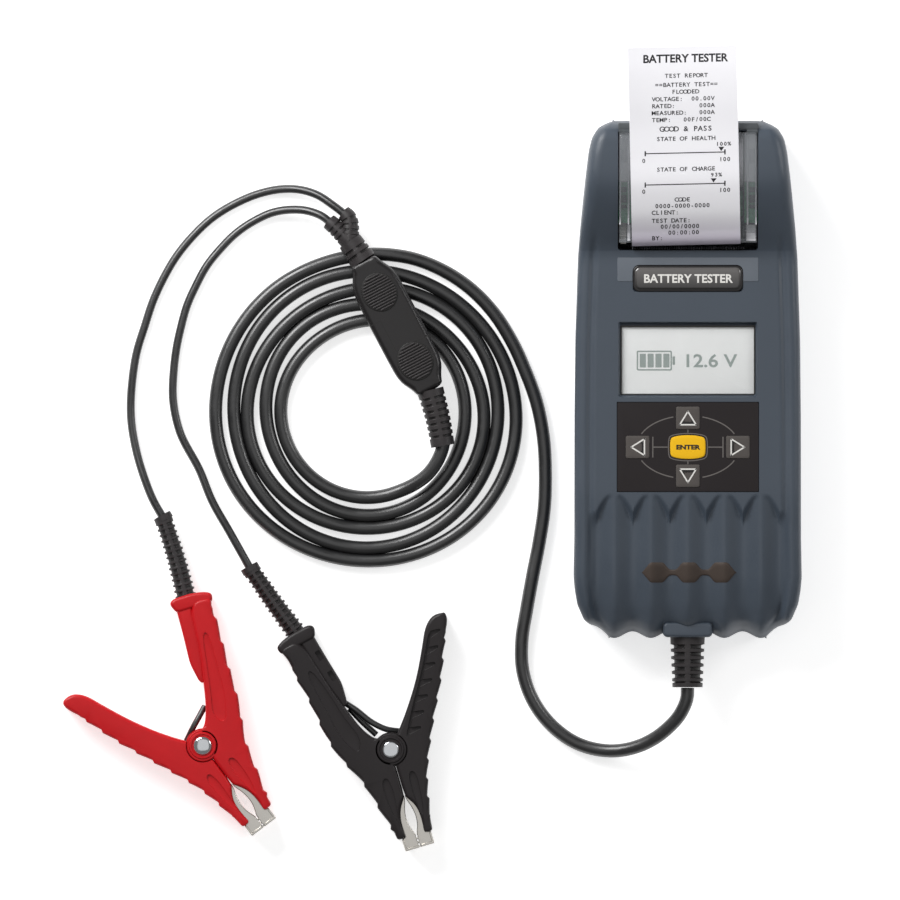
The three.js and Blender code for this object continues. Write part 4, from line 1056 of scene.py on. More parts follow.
    def rear_shell(self):
        """Offsets of the case plan: straight walls, then a quarter circle to the flat underside."""
        _, high = span("rear_shell")
        door_low, door_high = span("battery_door")
        radius = 5.0
        angle = np.linspace(0, math.pi / 2, 7)
        levels = [(0.35, high[2]), (0.0, high[2] - 0.15), (0.0, 12.0)]
        levels += [(radius * (1 - math.cos(a)), radius * (1 - math.sin(a))) for a in angle]
        count = len(self.outline())
        rings = [np.column_stack([self.outline(inset), np.full(count, z)]) for inset, z in levels]
        piece = build("rear_case", stack(np.array(rings)), finish("case"), 32)
        cavity = plate(self.outline(2.4), 2.4, high[2] + 2)
        door = block(*self.area_of("battery_door", 0.4, 0.4), -1, 2.3, 0.05, 2.2)
        opening = block(door_low[0] + 1, door_high[0] - 1, door_low[1] + 3, door_high[1] - 3, -1, 4, 0.05,
                        1.6)
        outlet = cylinder(9.8, -140, -126, (0, 0, 24), "y")
        holes = []
        for index in range(1, 5):
            screw_low, screw_high = span(f"case_screw_{index}")
            x, y = (screw_low + screw_high)[:2] / 2
            holes.append(cylinder(3.8, -1, 3.6, (x, y, 0), sides=32))
        carve(piece, cavity, door, opening, outlet, *holes, smooth=32)
        for y in (door_low[1] + 1, door_high[1] - 2.6):
            add(f"bay_wall_{'low' if y < -40 else 'high'}", block(-48, 48, y, y + 1.6, 2.2, 17, 0.3), "case",
                "tester", "case_plastic")
        place(piece, "tester", "case_plastic", "rear_shell")
        for index in range(1, 5):
            self.screw(index)

    def screw(self, index):
        """A pan-head screw with a cross recess, set in the underside."""
        low, high = span(f"case_screw_{index}")
        x, y = (low + high)[:2] / 2
        profile = [(0.05, low[2]), (1.8, low[2]), (2.9, low[2] + 0.35), (3.4, low[2] + 1.1),
                   (3.4, low[2] + 2.4), (1.5, low[2] + 2.5), (1.5, high[2] - 1.5), (0.05, high[2])]
        piece = build(f"screw_{index}", lathe(profile, (x, y, 0), sides=32), finish("steel"))
        cross = [block(x - 2, x + 2, y - 0.45, y + 0.45, low[2] - 0.5, low[2] + 1.1, 0.05),
                 block(x - 0.45, x + 0.45, y - 2, y + 2, low[2] - 0.5, low[2] + 1.1, 0.05)]
        carve(piece, *cross)
        place(piece, "tester", "steel", f"case_screw_{index}")

    def battery_door(self):
        """A flat door with a rounded rim, a thumb recess and rows of grip ridges."""
        low, high = span("battery_door")
        piece = build("cell_door", block(low[0], high[0], low[1], high[1], 0, high[2], 0.35, 2.0),
                      finish("case"))
        y = low[1] + 9
        thumb = plate(rounded_rectangle(11, 3.2, 3.0) + [0, y], -1, 0.9, 0.4)
        ridges = [block(-10, 10, y - 1.9 + k * 1.3, y - 1.5 + k * 1.3, 0.2, 1.0, 0.12) for k in range(4)]
        carve(piece, thumb)
        add("door_ridges", joined(*ridges), "case", "battery_door", "case_plastic")
        place(piece, "battery_door", "case_plastic", "battery_door")


# ---- control face -------------------------------------------------------------------------------
KEY_MIDDLE = (0.0, -36.0)
ARC_HALF = (26.7, 16.4)


def stroke(points, width, z0, z1):
    """A thin raised line of a width along flat points."""
    points = np.array(points, float)
    path = np.column_stack([points, np.full(len(points), (z0 + z1) / 2)])
    side, _ = frames(path)
    left = points + side[:, :2] * width / 2
    right = points - side[:, :2] * width / 2
    outline = np.vstack([left, right[::-1]])
    return plate(outline, z0, z1)


def frame_of(outline, width, z0, z1):
    """A thin raised border of a width just inside a closed outline."""
    outline = anticlockwise(np.asarray(outline, float))
    inner = outline - width * normals_of(outline)
    rings = []
    for line, z in ((outline, z0), (outline, z1), (inner, z1), (inner, z0)):
        rings.append(np.column_stack([line, np.full(len(line), z)]))
    ring = np.array(rings + rings[:1])
    return grid(ring, around=True)


class TESTER_OT_face(Operator):
    """The screen, the keypad film and its keys, and the badge"""
    bl_idname = "tester.face"
    bl_label = "Control face"

    def execute(self, context):
        self.screen()
        self.keypad()
        for name in ("up", "down", "left", "right"):
            self.arrow_key(name)
        self.enter_key()
        self.badge()
        return {"FINISHED"}

    def screen(self):
        """The window, the crystal panel behind it with its segments, and a black frame round it that paints
        the shade of the recess walls.
        """
        low, high = span("lcd_window")
        x0, x1, y0, y1 = low[0] + 1.1, high[0] - 1.1, low[1] + 1.1, high[1] - 2.4
        glass_z = low[2] - 1.0
        pane = block(x0 - 0.6, x1 + 0.6, y0 - 0.6, y1 + 0.6, glass_z - 0.9, glass_z, 0.1, 0.8)
        add("screen_window", pane, "glass", "tester", "clear_plastic", "lcd_window")
        add("crystal_panel",
            joined(block(x0, x1, y0, y1, glass_z - 3.0, glass_z - 1.0, 0.1, 0.5),
                   block(-36.4, 36.4, -13, 32, 40.4, 44.0, 0.3)),
            "screen", "tester", "lcd_panel", "lcd_module")
        rim = rounded_rectangle((x1 - x0) / 2 + 0.9, (y1 - y0) / 2 + 0.9, 0.6)
        rim = rim + [(x0 + x1) / 2, (y0 + y1) / 2]
        # Painted shade: a black frame round the window stands in for the shadowed walls of its recess.
        add("screen_gasket", frame_of(rim, 0.9, glass_z - 1, glass_z + 0.25), "black_ink", "tester",
            "gloss_black")
        z = glass_z - 1.0
        middle_y = (y0 + y1) / 2
        shapes = [frame_of(rounded_rectangle(9.2, 5.2, 0.8) + [-17.5, middle_y], 0.75, z, z + 0.06),
                  block(-8.0, -6.7, middle_y - 2.2, middle_y + 2.2, z, z + 0.06, 0)]
        shapes += [block(x, x + 3.2, middle_y - 3.6, middle_y + 3.6, z, z + 0.06, 0)
                   for x in (-25.1, -21.0, -16.9, -12.8)]
        shapes.append(text_shape("12.6 V", 6.6, 11.4, middle_y - 3.3, z + 0.06, "CENTER", 1.15, bold=0.18))
        add("screen_digits", joined(*shapes), "digits", "tester", "lcd_panel", closed=False)

    def keypad(self):
        """The film with its key openings, and the printed oval, ticks and border on it."""
        low, high = span("keypad_overlay")
        outline = rounded_rectangle((high[0] - low[0]) / 2, (high[1] - low[1]) / 2, 0.7)
        centre = [0, (low[1] + high[1]) / 2]
        film = build("keypad_film", plate(outline + centre, low[2], high[2], 0.12), finish("film"))
        holes = []
        for name in ("up", "down", "left", "right", "enter"):
            key_low, key_high = span(f"key_{name}")
            opening = self.key_outline(key_low, key_high, 0.32, name == "enter")
            holes.append(plate(opening, low[2] - 1, high[2] + 1))
        carve(film, *holes)
        place(film, "tester", "keypad_film", "keypad_overlay")
        z = high[2] - 0.02
        lines = []
        ticks = [((0, -26.9), (0, -28.4), 0.5), ((0, -43.4), (0, -44.9), 0.5)]
        for sx in (-1, 1):
            for sy in (-1, 1):
                x = sx * np.linspace(7.6, 24.2, 30)
                y = sy * ARC_HALF[1] * np.sqrt(1 - (x / ARC_HALF[0]) ** 2)
                lines.append(stroke(np.column_stack([x, y]) + KEY_MIDDLE, 0.6, z, z + 0.06))
            ticks += [((sx * 18.3, -30.6), (sx * 18.3, -41.4), 1), ((sx * 10.6, -36), (sx * 18.0, -36), 1)]
        lines += [stroke(straight((*start, 0), (*end, 0), gap)[:, :2], 0.6, z, z + 0.05)
                  for start, end, gap in ticks]
        key_low, key_high = span("key_enter")
        lines.append(frame_of(self.key_outline(key_low, key_high, 1.1, True), 0.5, z, z + 0.06))
        add("keypad_print", joined(*lines), "grey_ink", "tester", "keypad_film", closed=False)

    def key_outline(self, low, high, grow, barrel=False):
        """A square with round corners, or a barrel whose long sides bow out by an eighth."""
        centre = (low + high)[:2] / 2
        half = (high - low)[:2] / 2 + grow
        if not barrel:
            return rounded_rectangle(half[0], half[1], 0.8 + grow) + centre
        outline = np.array([[-1, -0.62], [-0.86, -0.86], [-0.45, -0.98], [0, -1.02], [0.45, -0.98],
                            [0.86, -0.86], [1, -0.62], [1.0, 0.62], [0.86, 0.86], [0.45, 0.98], [0, 1.02],
                            [-0.45, 0.98], [-0.86, 0.86], [-1.0, 0.62]]) * half
        return softened_outline(outline, 0.4) + centre

    def crowned_key(self, name, outline, low, high, finish_name):
        """A rubber key: its outline drawn in over a rounded rim to a slightly crowned top."""
        outline = anticlockwise(outline)
        centre = outline.mean(0)
        rings = []
        top = high[2]
        for share, z in ((1, low[2]), (1, top - 0.7), (0.99, top - 0.35), (0.965, top - 0.12),
                         (0.92, top - 0.02), (0.7, top + 0.05), (0.35, top + 0.09), (0.02, top + 0.1)):
            rings.append(np.column_stack([centre + (outline - centre) * share, np.full(len(outline), z)]))
        return build(name, stack(np.array(rings)), finish(finish_name))

    def arrow_key(self, name):
        low, high = span(f"key_{name}")
        piece = self.crowned_key(f"{name}_key", self.key_outline(low, high, 0.25), low, high, "key")
        place(piece, f"key_{name}", "key_grey", f"key_{name}")
        turn = {"up": 0, "left": 90, "down": 180, "right": -90}[name]
        centre = (low + high)[:2] / 2
        triangle = np.array([[-4.95, -3.9], [4.95, -3.9], [0, 4.1]])
        a = math.radians(turn)
        spin = np.array([[math.cos(a), math.sin(a)], [-math.sin(a), math.cos(a)]])
        outline = softened_outline(triangle @ spin, 0.25, 0.3) + centre
        inner = anticlockwise(outline)
        inner = inner - 0.55 * normals_of(inner)
        z = high[2] + 0.06
        add(f"{name}_arrow_line", frame_of(outline, 0.75, z - 0.2, z + 0.08), "white_ink", f"key_{name}",
            "key_grey")
        add(f"{name}_arrow", plate(inner, z - 0.2, z + 0.03), "black_ink", f"key_{name}", "key_grey")

    def enter_key(self):
        low, high = span("key_enter")
        piece = self.crowned_key("enter_key", self.key_outline(low, high, 0, True), low, high, "enter")
        place(piece, "key_enter", "key_amber", "key_enter")
        centre = (low + high)[:2] / 2
        words = text_shape("ENTER", 2.25, centre[0], centre[1] - 1.12, high[2] + 0.14, "CENTER", 1.28,
                           bold=0.16)
        add("enter_letters", words, "black_ink", "key_enter", "key_amber", closed=False)

    def badge(self):
        """A black bezel with a domed lens over a dark panel and plain generic lettering."""
        low, high = span("badge_plate")
        half = (high - low)[:2] / 2
        centre = (low + high)[:2] / 2
        add("badge_bezel",
            plate(rounded_rectangle(half[0] + 0.2, half[1] + 0.2, 3.4) + centre, low[2], high[2] + 0.2, 0.7),
            "black", "tester", "gloss_black", "badge_plate")
        lens = rounded_rectangle(half[0] - 0.9, half[1] - 1.0, 2.6) + centre
        rings = []
        for share, rise in ((1, 0.1), (0.995, 0.45), (0.95, 0.75), (0.8, 0.95), (0.02, 1.0)):
            share_x = 1 - (1 - share) * half[1] / half[0] if share > 0.5 else share
            line = centre + (lens - centre) * [share_x, share]
            rings.append(np.column_stack([line, np.full(len(lens), high[2] + rise)]))
        # The panel under the lens carries a painted reflection, lighter at the top.
        panel = build("badge_panel", stack(np.array(rings)), badge_painted_reflection_finish(), 40)
        place(panel, "tester", "gloss_black")
        words = text_shape("BATTERY TESTER", 4.3, centre[0], centre[1] - 2.15, high[2] + 1.06, "CENTER", 0.98,
                           bold=0.16)
        add("badge_letters", words, "white_ink", "tester", "gloss_black", closed=False)


def badge_painted_reflection_finish():
    # Domed urethane lens over a dark panel, with a painted reflection of the light above: warm dark grey at
    # the top, nearly black at the bottom.
    low, high = span("badge_plate")
    material, shader = new_material("badge_lens", linear("#3A3838"), 0.12, IOR=1.5, Coat_Weight=0.6)
    # Painted reflection: the colour lightens towards the top, on the side the light falls from.
    shaded_along_y(material, shader, low[1] * MM, high[1] * MM, "#0E0D0D", "#6B6867")
    return material


# ---- clamps -------------------------------------------------------------------------------------
FIXED_HANDLE = [
    [50.5, 59.5], [46.7, 54.5], [44.5, 47.7], [38.7, 33.5], [34.2, 22.8], [31, 13.8], [26.4, 3.1],
    [19.7, -8.8], [16.2, -19.1], [13.7, -29.9], [11.1, -37.9], [10.2, -46.4], [5.4, -46.6], [5.9, -38],
    [4.2, -31.5], [0.5, -26], [0.1, -21], [0.1, -9], [3, 7], [7.1, 7.6], [13.1, 14.5], [20, 25.7],
    [28.1, 40.1], [38.7, 64.3],
]
CABLE_COVER = [[20.4, 25.4], [29.4, 39.6], [40, 63.8], [32.5, 66.9], [26.4, 52], [20.4, 38.2], [18.6, 27.4]]
MOVING_HANDLE = [
    [-45.1, 62.7], [-45.6, 58.1], [-40.2, 47.5], [-36.4, 35.5], [-32.1, 24.4], [-27.3, 13.7], [-22.6, 3.1],
    [-17.8, -7.6], [-14, -17.6], [-11.2, -29], [-9.6, -39.6], [-8.9, -46.8], [-4.4, -46.6], [-5.2, -38],
    [-4.2, -31.5], [-0.5, -26], [-0.1, -21], [-0.1, -9], [-3, 5], [-4.8, 6], [-13.2, 17.3], [-21.9, 32.3],
    [-28.8, 47.5], [-33.1, 57.9], [-38.5, 62.9],
]
JAW = [
    [0.15, -24.2], [0.3, -27.5], [1.8, -31.5], [2.6, -36.5], [2.2, -41], [0.9, -44.5], [0.2, -46.6],
    [0.2, -53.4], [8, -53.4], [8, -47], [6.8, -46.4], [6.8, -34], [5, -28], [2.4, -24.4],
]
JAW_CORNERS = [(7, 0.4), (8, 0.8), (9, 0.5), (10, 0.5)]
CLOSE_CORNERS = ((11, 1.5), (12, 1.5), (15, 1.2), (16, 1.0), (17, 1.2))


def bent(points, degrees):
    """Points turned about the rivet, none at the rivet and all of it past 30 mm up the handles."""
    points = np.array(points, float)
    a = np.radians(degrees) * np.clip(points[:, 1] / 30, 0, 1)
    x, y = points[:, 0], points[:, 1]
    return np.stack([x * np.cos(a) - y * np.sin(a), x * np.sin(a) + y * np.cos(a)], 1)


class Clamp:
    """Where one clamp lies: its own frame has the rivet at the origin and the jaws towards -Y."""

    def __init__(self, name, turn, side, bend_fixed, bend_moving, finish_name, slot):
        low, high = span(f"{name}_rivet")
        self.name, self.turn, self.side = name, turn, side
        self.bend_fixed, self.bend_moving = bend_fixed, bend_moving
        self.finish_name, self.slot = finish_name, slot
        self.pivot = np.array([*((low + high)[:2] / 2), 0.0])
        self.root = self.world(bent([[38.6, 64.3]], bend_fixed) * 0.985)[0]

    def world(self, points):
        a = math.radians(self.turn)
        x, y = points[:, 0] * self.side, points[:, 1]
        out = np.stack([x * math.cos(a) - y * math.sin(a), x * math.sin(a) + y * math.cos(a)], 1)
        return out + self.pivot[:2]

    def set(self, shape):
        return turned(shape, self.turn, self.pivot, self.side)


CLAMPS = {
    "red": Clamp("red", 37.0, 1, 0.0, 0.0, "red", "red_plastic"),
    "black": Clamp("black", 16.7, -1, 8.6, -2.5, "dark", "black_plastic"),
}


def sawn(outline, side, v0, v1, pitch, depth):
    """Steps along the outer edge: each tooth rises over its pitch and drops back at once. Gives
    the outline and the softened normals that its rims are drawn in by."""
    outline = anticlockwise(outline)
    normal = normals_of(outline, 4)
    v = outline[:, 1]
    facing = smoothstep(normal[:, 0] * side, 0.25, 0.6)
    reach = smoothstep(v, v0, v0 + 2) * smoothstep(-v, -v1, -v1 + 2)
    share = (v / pitch) % 1
    tooth = np.where(share < 0.86, share / 0.86, (1 - share) / 0.14)
    return outline + normal * (tooth * depth * facing * reach)[:, None], normal


TOP = 20.0
EAR = 4.7
HUB = 9.2
BOSS = 8.4
DRUM = 8.8  # the free half is cut round the boss at this radius
JAW_SLOT = (2.7, 17.3)  # heights of the slot that each jaw sits in
JAW_STRIP = (3.2, 16.8)


class TESTER_OT_clamps(Operator):
    """The red and black spring clamps with their jaws, springs, rivets and jumper wires"""
    bl_idname = "tester.clamps"
    bl_label = "Clamps"

    def execute(self, context):
        for clamp in CLAMPS.values():
            self.fixed_half(clamp)
            self.moving_half(clamp)
            self.cable_cover(clamp)
            self.jaws(clamp)
            self.pivot(clamp)
        self.jumpers()
        return {"FINISHED"}

    def piece(self, clamp, name, shape, finish_name, body, slot, *nodes, smooth=38.0):
        return add(f"{clamp.name}_{name}", clamp.set(shape), finish_name, body, slot,
                   *[f"{clamp.name}_{node}" for node in nodes], smooth=smooth)

    def jaw_room(self):
        """The slot that a jaw sits in, a little wider than the jaw."""
        outline = softened_outline(JAW, 0.8, 2, JAW_CORNERS)
        return outline + 0.5 * normals_of(outline)

    def fixed_half(self, clamp):
        """The half on the cable: stepped outer edge, two outer ears and a shallow cheek recess."""
        outline = softened_outline(bent(FIXED_HANDLE, clamp.bend_fixed), 0.55, corners=CLOSE_CORNERS)
        outline, normal = sawn(outline, 1, -42, 56, 12.6, millimetres("saw_depth"))
        solid = plate(outline, 0, TOP, 1.9, 1.2, 5, normal)
        body = build(f"{clamp.name}_cable_half", solid, finish(clamp.finish_name), 38)
        collar = plate(softened_outline(self.collar_outline(clamp), 0.5, 2.2), 1.0, TOP - 0.6, 1.8, steps=5)
        cuts = [cylinder(HUB, EAR, TOP - EAR, (0, 0, 0), sides=56),
                plate(self.jaw_room(), *JAW_SLOT),
                cylinder(3.3, -1, TOP + 1, (0, 0, 0), sides=32)]
        cheek = softened_outline([[6.0, -13.0], [9.6, -14.6], [9.8, -24], [8.6, -34], [6.6, -38], [5.6, -30],
                                  [4.6, -20]], 0.6)
        cuts.append(plate(cheek, TOP - 0.9, TOP + 1, 0.0, 0.35))
        web = softened_outline(bent([[16.5, 1.5], [24.5, 12], [31.0, 27.5], [38.2, 45.6], [35.2, 47.4],
                                     [27.6, 33.5], [20.0, 19.5], [13.6, 9.8]], clamp.bend_fixed), 0.7)
        cuts.append(plate(web, TOP - 0.7, TOP + 1, 0.0, 0.3))
        carve(body, *cuts, smooth=38)
        body.data.transform(matrix_of(clamp))
        fix_sides(body, clamp)
        place(body, "clamp_leads", clamp.slot, f"{clamp.name}_handle_fixed")
        lower = [(3.2, 0), (BOSS - 0.8, 0), (BOSS, 0.8), (BOSS, EAR - 0.2), (3.2, EAR - 0.2)]
        upper = [(3.2, TOP - EAR + 0.2), (BOSS, TOP - EAR + 0.2), (BOSS, TOP - 0.5), (BOSS - 0.5, TOP),
                 (7.2, TOP), (6.7, TOP + 0.55), (6.0, TOP + 0.6), (5.5, TOP + 0.1), (3.2, TOP + 0.05)]
        ears = [lathe(lower, (0, 0, 0), sides=64), lathe(upper, (0, 0, 0), sides=64), collar]
        self.piece(clamp, "outer_ears", joined(*ears), clamp.finish_name, "clamp_leads", clamp.slot)

    def collar_outline(self, clamp):
        """The flared rim at the end of the cable handle, square to the boot."""
        start = np.array([[30.8, 63.4], [30.4, 69.4], [33.5, 70.6], [43.5, 67.0], [49.5, 63.4], [51.8, 60.6],
                          [49.2, 56.8]])
        return bent(start, clamp.bend_fixed)

    def moving_half(self, clamp):
        """The half that opens: stepped outer edge, a raised inner rim, and slanted grip islands."""
        bend = -clamp.bend_moving
        tip = 1.0 if clamp.name == "black" else 4.0
        outline = softened_outline(bent(MOVING_HANDLE, bend), 0.55, corners=((0, tip), *CLOSE_CORNERS))
        outline, normal = sawn(outline, -1, -40, 52, 9.6, millimetres("saw_depth"))
        solid = plate(outline, 0, TOP, 1.9, 1.2, 5, normal)
        body = build(f"{clamp.name}_free_half", solid, finish(clamp.finish_name), 38)
        drum = cylinder(DRUM, -1, TOP + 1, (0, 0, 0), sides=72)
        jaw = self.jaw_room() * [-1, 1]
        cuts = [drum, plate(jaw, *JAW_SLOT)]
        cheek = softened_outline([[-6.0, -13.0], [-9.4, -15], [-8.8, -26], [-7.4, -36], [-5.2, -38],
                                  [-4.8, -30], [-4.4, -20]], 0.6)
        cuts.append(plate(cheek, TOP - 0.9, TOP + 1, 0.0, 0.35))
        if clamp.name == "black":
            cuts += self.grip_pockets(bend)
        carve(body, *cuts, smooth=38)
        body.data.transform(matrix_of(clamp))
        fix_sides(body, clamp)
        place(body, f"{clamp.name}_jaw", clamp.slot, f"{clamp.name}_handle_moving")
        inner = lathe([(3.2, 8.2), (DRUM, 8.2), (DRUM + 0.2, 8.5), (DRUM + 0.2, 14.8), (DRUM, 15.1),
                       (3.2, 15.1)],
                      (0, 0, 0), sides=56)
        neck = plate([[-9.0, -5], [-9.0, 5], [-13, 7], [-13, -7]], 8.4, 14.9, 0.3)
        self.piece(clamp, "inner_ear", joined(inner, neck), clamp.finish_name, f"{clamp.name}_jaw",
                   clamp.slot)

    def grip_pockets(self, bend):
        """Slanted pockets at an even pitch along the handle, between the two raised rims."""
        pockets = []
        middle = np.array([[-14.2, 6.0], [-20.5, 18.6], [-27.2, 31.5], [-32.6, 42.6], [-37.0, 53.0]])
        line = smooth_path(np.column_stack([middle, np.zeros(5)]), 9.4)
        side, _ = frames(line)
        tangent = np.gradient(line, axis=0)
        tangent /= np.linalg.norm(tangent, axis=1)[:, None]
        for k in range(len(line)):
            base = line[k, :2]
            along, over = tangent[k, :2], side[k, :2]
            half = 3.4 - 0.12 * k
            corners = [base + along * a + over * b for a, b in
                       ((-3.4, half), (1.2, half), (3.4, -half), (1.6, -half))]
            pockets.append(plate(softened_outline(bent(corners, bend), 0.5, 1.2), TOP - 1.3, TOP + 1, 0.0,
                                 0.3))
        rim = line[:, :2] + side[:, :2] * 2.6
        edges = np.vstack([rim + side[:, :2] * 0.8, (rim - side[:, :2] * 0.8)[::-1]])
        pockets.append(plate(softened_outline(bent(edges, bend), 0.5), TOP - 1.1, TOP + 1, 0.0, 0.3))
        return pockets

    def cable_cover(self, clamp):
        """The plate that closes the cable channel, with two slots on the black clamp."""
        outline = softened_outline(bent(CABLE_COVER, clamp.bend_fixed), 0.5, 3.0)
        lid = plate(outline, 1.5, 18.6, 1.4, 1.0)
        cover = build(f"{clamp.name}_channel_cover", lid, finish(clamp.finish_name), 38)
        if clamp.name == "black":
            for x, y in ((25.0, 42.6), (30.0, 54.0)):
                slot = rounded_rectangle(1.3, 2.7, 0.4) @ rotation(-24) + [x, y]
                carve(cover, plate(bent(slot, clamp.bend_fixed), 16.6, 21), smooth=38)
        cover.data.transform(matrix_of(clamp))
        fix_sides(cover, clamp)
        place(cover, "clamp_leads", clamp.slot, f"{clamp.name}_cable_cover")

    def jaws(self, clamp):
        """A curved nickel strip each, with teeth on its inner edge, ending in a folded tip block."""
        outline = softened_outline(JAW, 0.3, 99, JAW_CORNERS)
        normal = normals_of(outline)
        v = outline[:, 1]
        teeth = (np.abs(((v / 2.2) % 1) - 0.5) * 2 - 0.5) * 0.5
        reach = smoothstep(-normal[:, 0], 0.6, 0.9) * smoothstep(-v, 46.4, 47.2) * smoothstep(v, -53.2, -52.6)
        outline = outline + normal * (teeth * reach)[:, None]
        strip = plate(outline, *JAW_STRIP, 0.45, 0.45)
        bite = [plate(np.array([[0.3, y], [1.1, y - 0.5], [0.9, y + 0.4]]), 4, 16, 0.05) for y in (-26.0,
                                                                                                   -27.1)]
        rim = [block(0.9, 7.8, -53.4, -52.0, 16.4, 17.6, 0.3), block(6.8, 7.9, -53.2, -47.2, 16.4, 17.5, 0.3)]
        shape = joined(strip, *bite, *rim)
        self.piece(clamp, "cable_jaw", shape, "nickel", "clamp_leads", "nickel", "jaw_fixed", smooth=30)
        self.piece(clamp, "free_jaw", turned(shape, 0, flip=-1), "nickel", f"{clamp.name}_jaw", "nickel",
                   "jaw_moving", smooth=30)

    def pivot(self, clamp):
        """A headed rivet, domed on the red clamp, and the torsion spring wound round it."""
        head = 4.7 if clamp.name == "red" else 4.1
        arc = np.linspace(0, math.pi / 2, 9)
        rise = 1.1 if clamp.name == "red" else 0.45
        dome = [(head * math.cos(a), TOP + 0.75 + rise * math.sin(a)) for a in arc[:-1]]
        profile = [(0.05, 0.2), (2.9, 0.2), (3.0, 0.4), (3.0, TOP + 0.3), (head, TOP + 0.35)] + dome
        profile.append((0.05, dome[-1][1] + 0.05))
        rivet = lathe(profile, (0, 0, 0), sides=56)
        self.piece(clamp, "hinge_rivet", rivet, "chrome", "clamp_leads", "chrome", "rivet")
        turn = np.linspace(0, 1.6, 120)
        angle = 2 * math.pi * turn + 2.2
        spring_path = np.stack([4.9 * np.cos(angle), 4.9 * np.sin(angle), 5.9 + 1.2 * turn / 1.6], 1)
        spring = tube(spring_path, 0.55, 10)
        self.piece(clamp, "hinge_spring", spring, "steel", "clamp_leads", "steel", "torsion_spring")

    def jumpers(self):
        """The short black wires that pass the hinge, from the cable channel to the free jaw."""
        runs = {
            "red": [[(-252.4, -171.5, 12), (-254.8, -176, 13.6), (-258.4, -182.5, 14),
                     (-261.8, -189.5, 11.5)]],
            "black": [[(-179.5, -169.4, 12), (-173.6, -173.2, 13.4), (-164.4, -180.2, 13.8),
                       (-157.6, -183.4, 13), (-150.4, -184.6, 11)],
                      [(-176.6, -172.6, 9), (-170.6, -179, 9.6), (-162.6, -186.4, 9)]],
        }
        for name, routes in runs.items():
            wires = [tube(smooth_path(route, 0.8), 1.6, 14) for route in routes]
            piece = build(f"{name}_jumper", joined(*wires), finish("cable"))
            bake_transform(piece)


def rotation(degrees):
    a = math.radians(degrees)
    return np.array([[math.cos(a), math.sin(a)], [-math.sin(a), math.cos(a)]])


def matrix_of(clamp):
    """The place of a clamp as a matrix in metres, mirrored where the clamp is."""
    a = math.radians(clamp.turn)
    s = clamp.side
    x, y, _ = clamp.pivot * MM
    cos, sin = math.cos(a), math.sin(a)
    return Matrix(((s * cos, -sin, 0, x), (s * sin, cos, 0, y), (0, 0, 1, 0), (0, 0, 0, 1)))


def fix_sides(piece, clamp):
    """Turns the faces outward again where the clamp's place mirrors them."""
    if clamp.side < 0:
        piece.data.flip_normals()


# ---- printer ------------------------------------------------------------------------------------
PAPER_HALF = 28.3
PAPER_TURN = 1.3
PAPER_FOOT = (-0.9, 69.6)
PAPER_PROFILE = [(0, 46), (0.02, 52.4), (1.2, 55.2), (7.6, 59.2), (16.6, 64.6), (24, 67.6), (31, 69.6),
                 (47, 70.1), (60, 70.2), (76, 71), (90, 70.6), (103, 68.8)]
PLATEN_Y, PLATEN_Z = 75.5, 44.8
FEED_Y = 85.4


def paper_line(count=240):
    """The side view of the strip: a smooth line through its bends, as (along, height)."""
    points = np.column_stack([np.array(PAPER_PROFILE, float), np.zeros(len(PAPER_PROFILE))])
    return smooth_path(points, 131 / count)[:, :2]


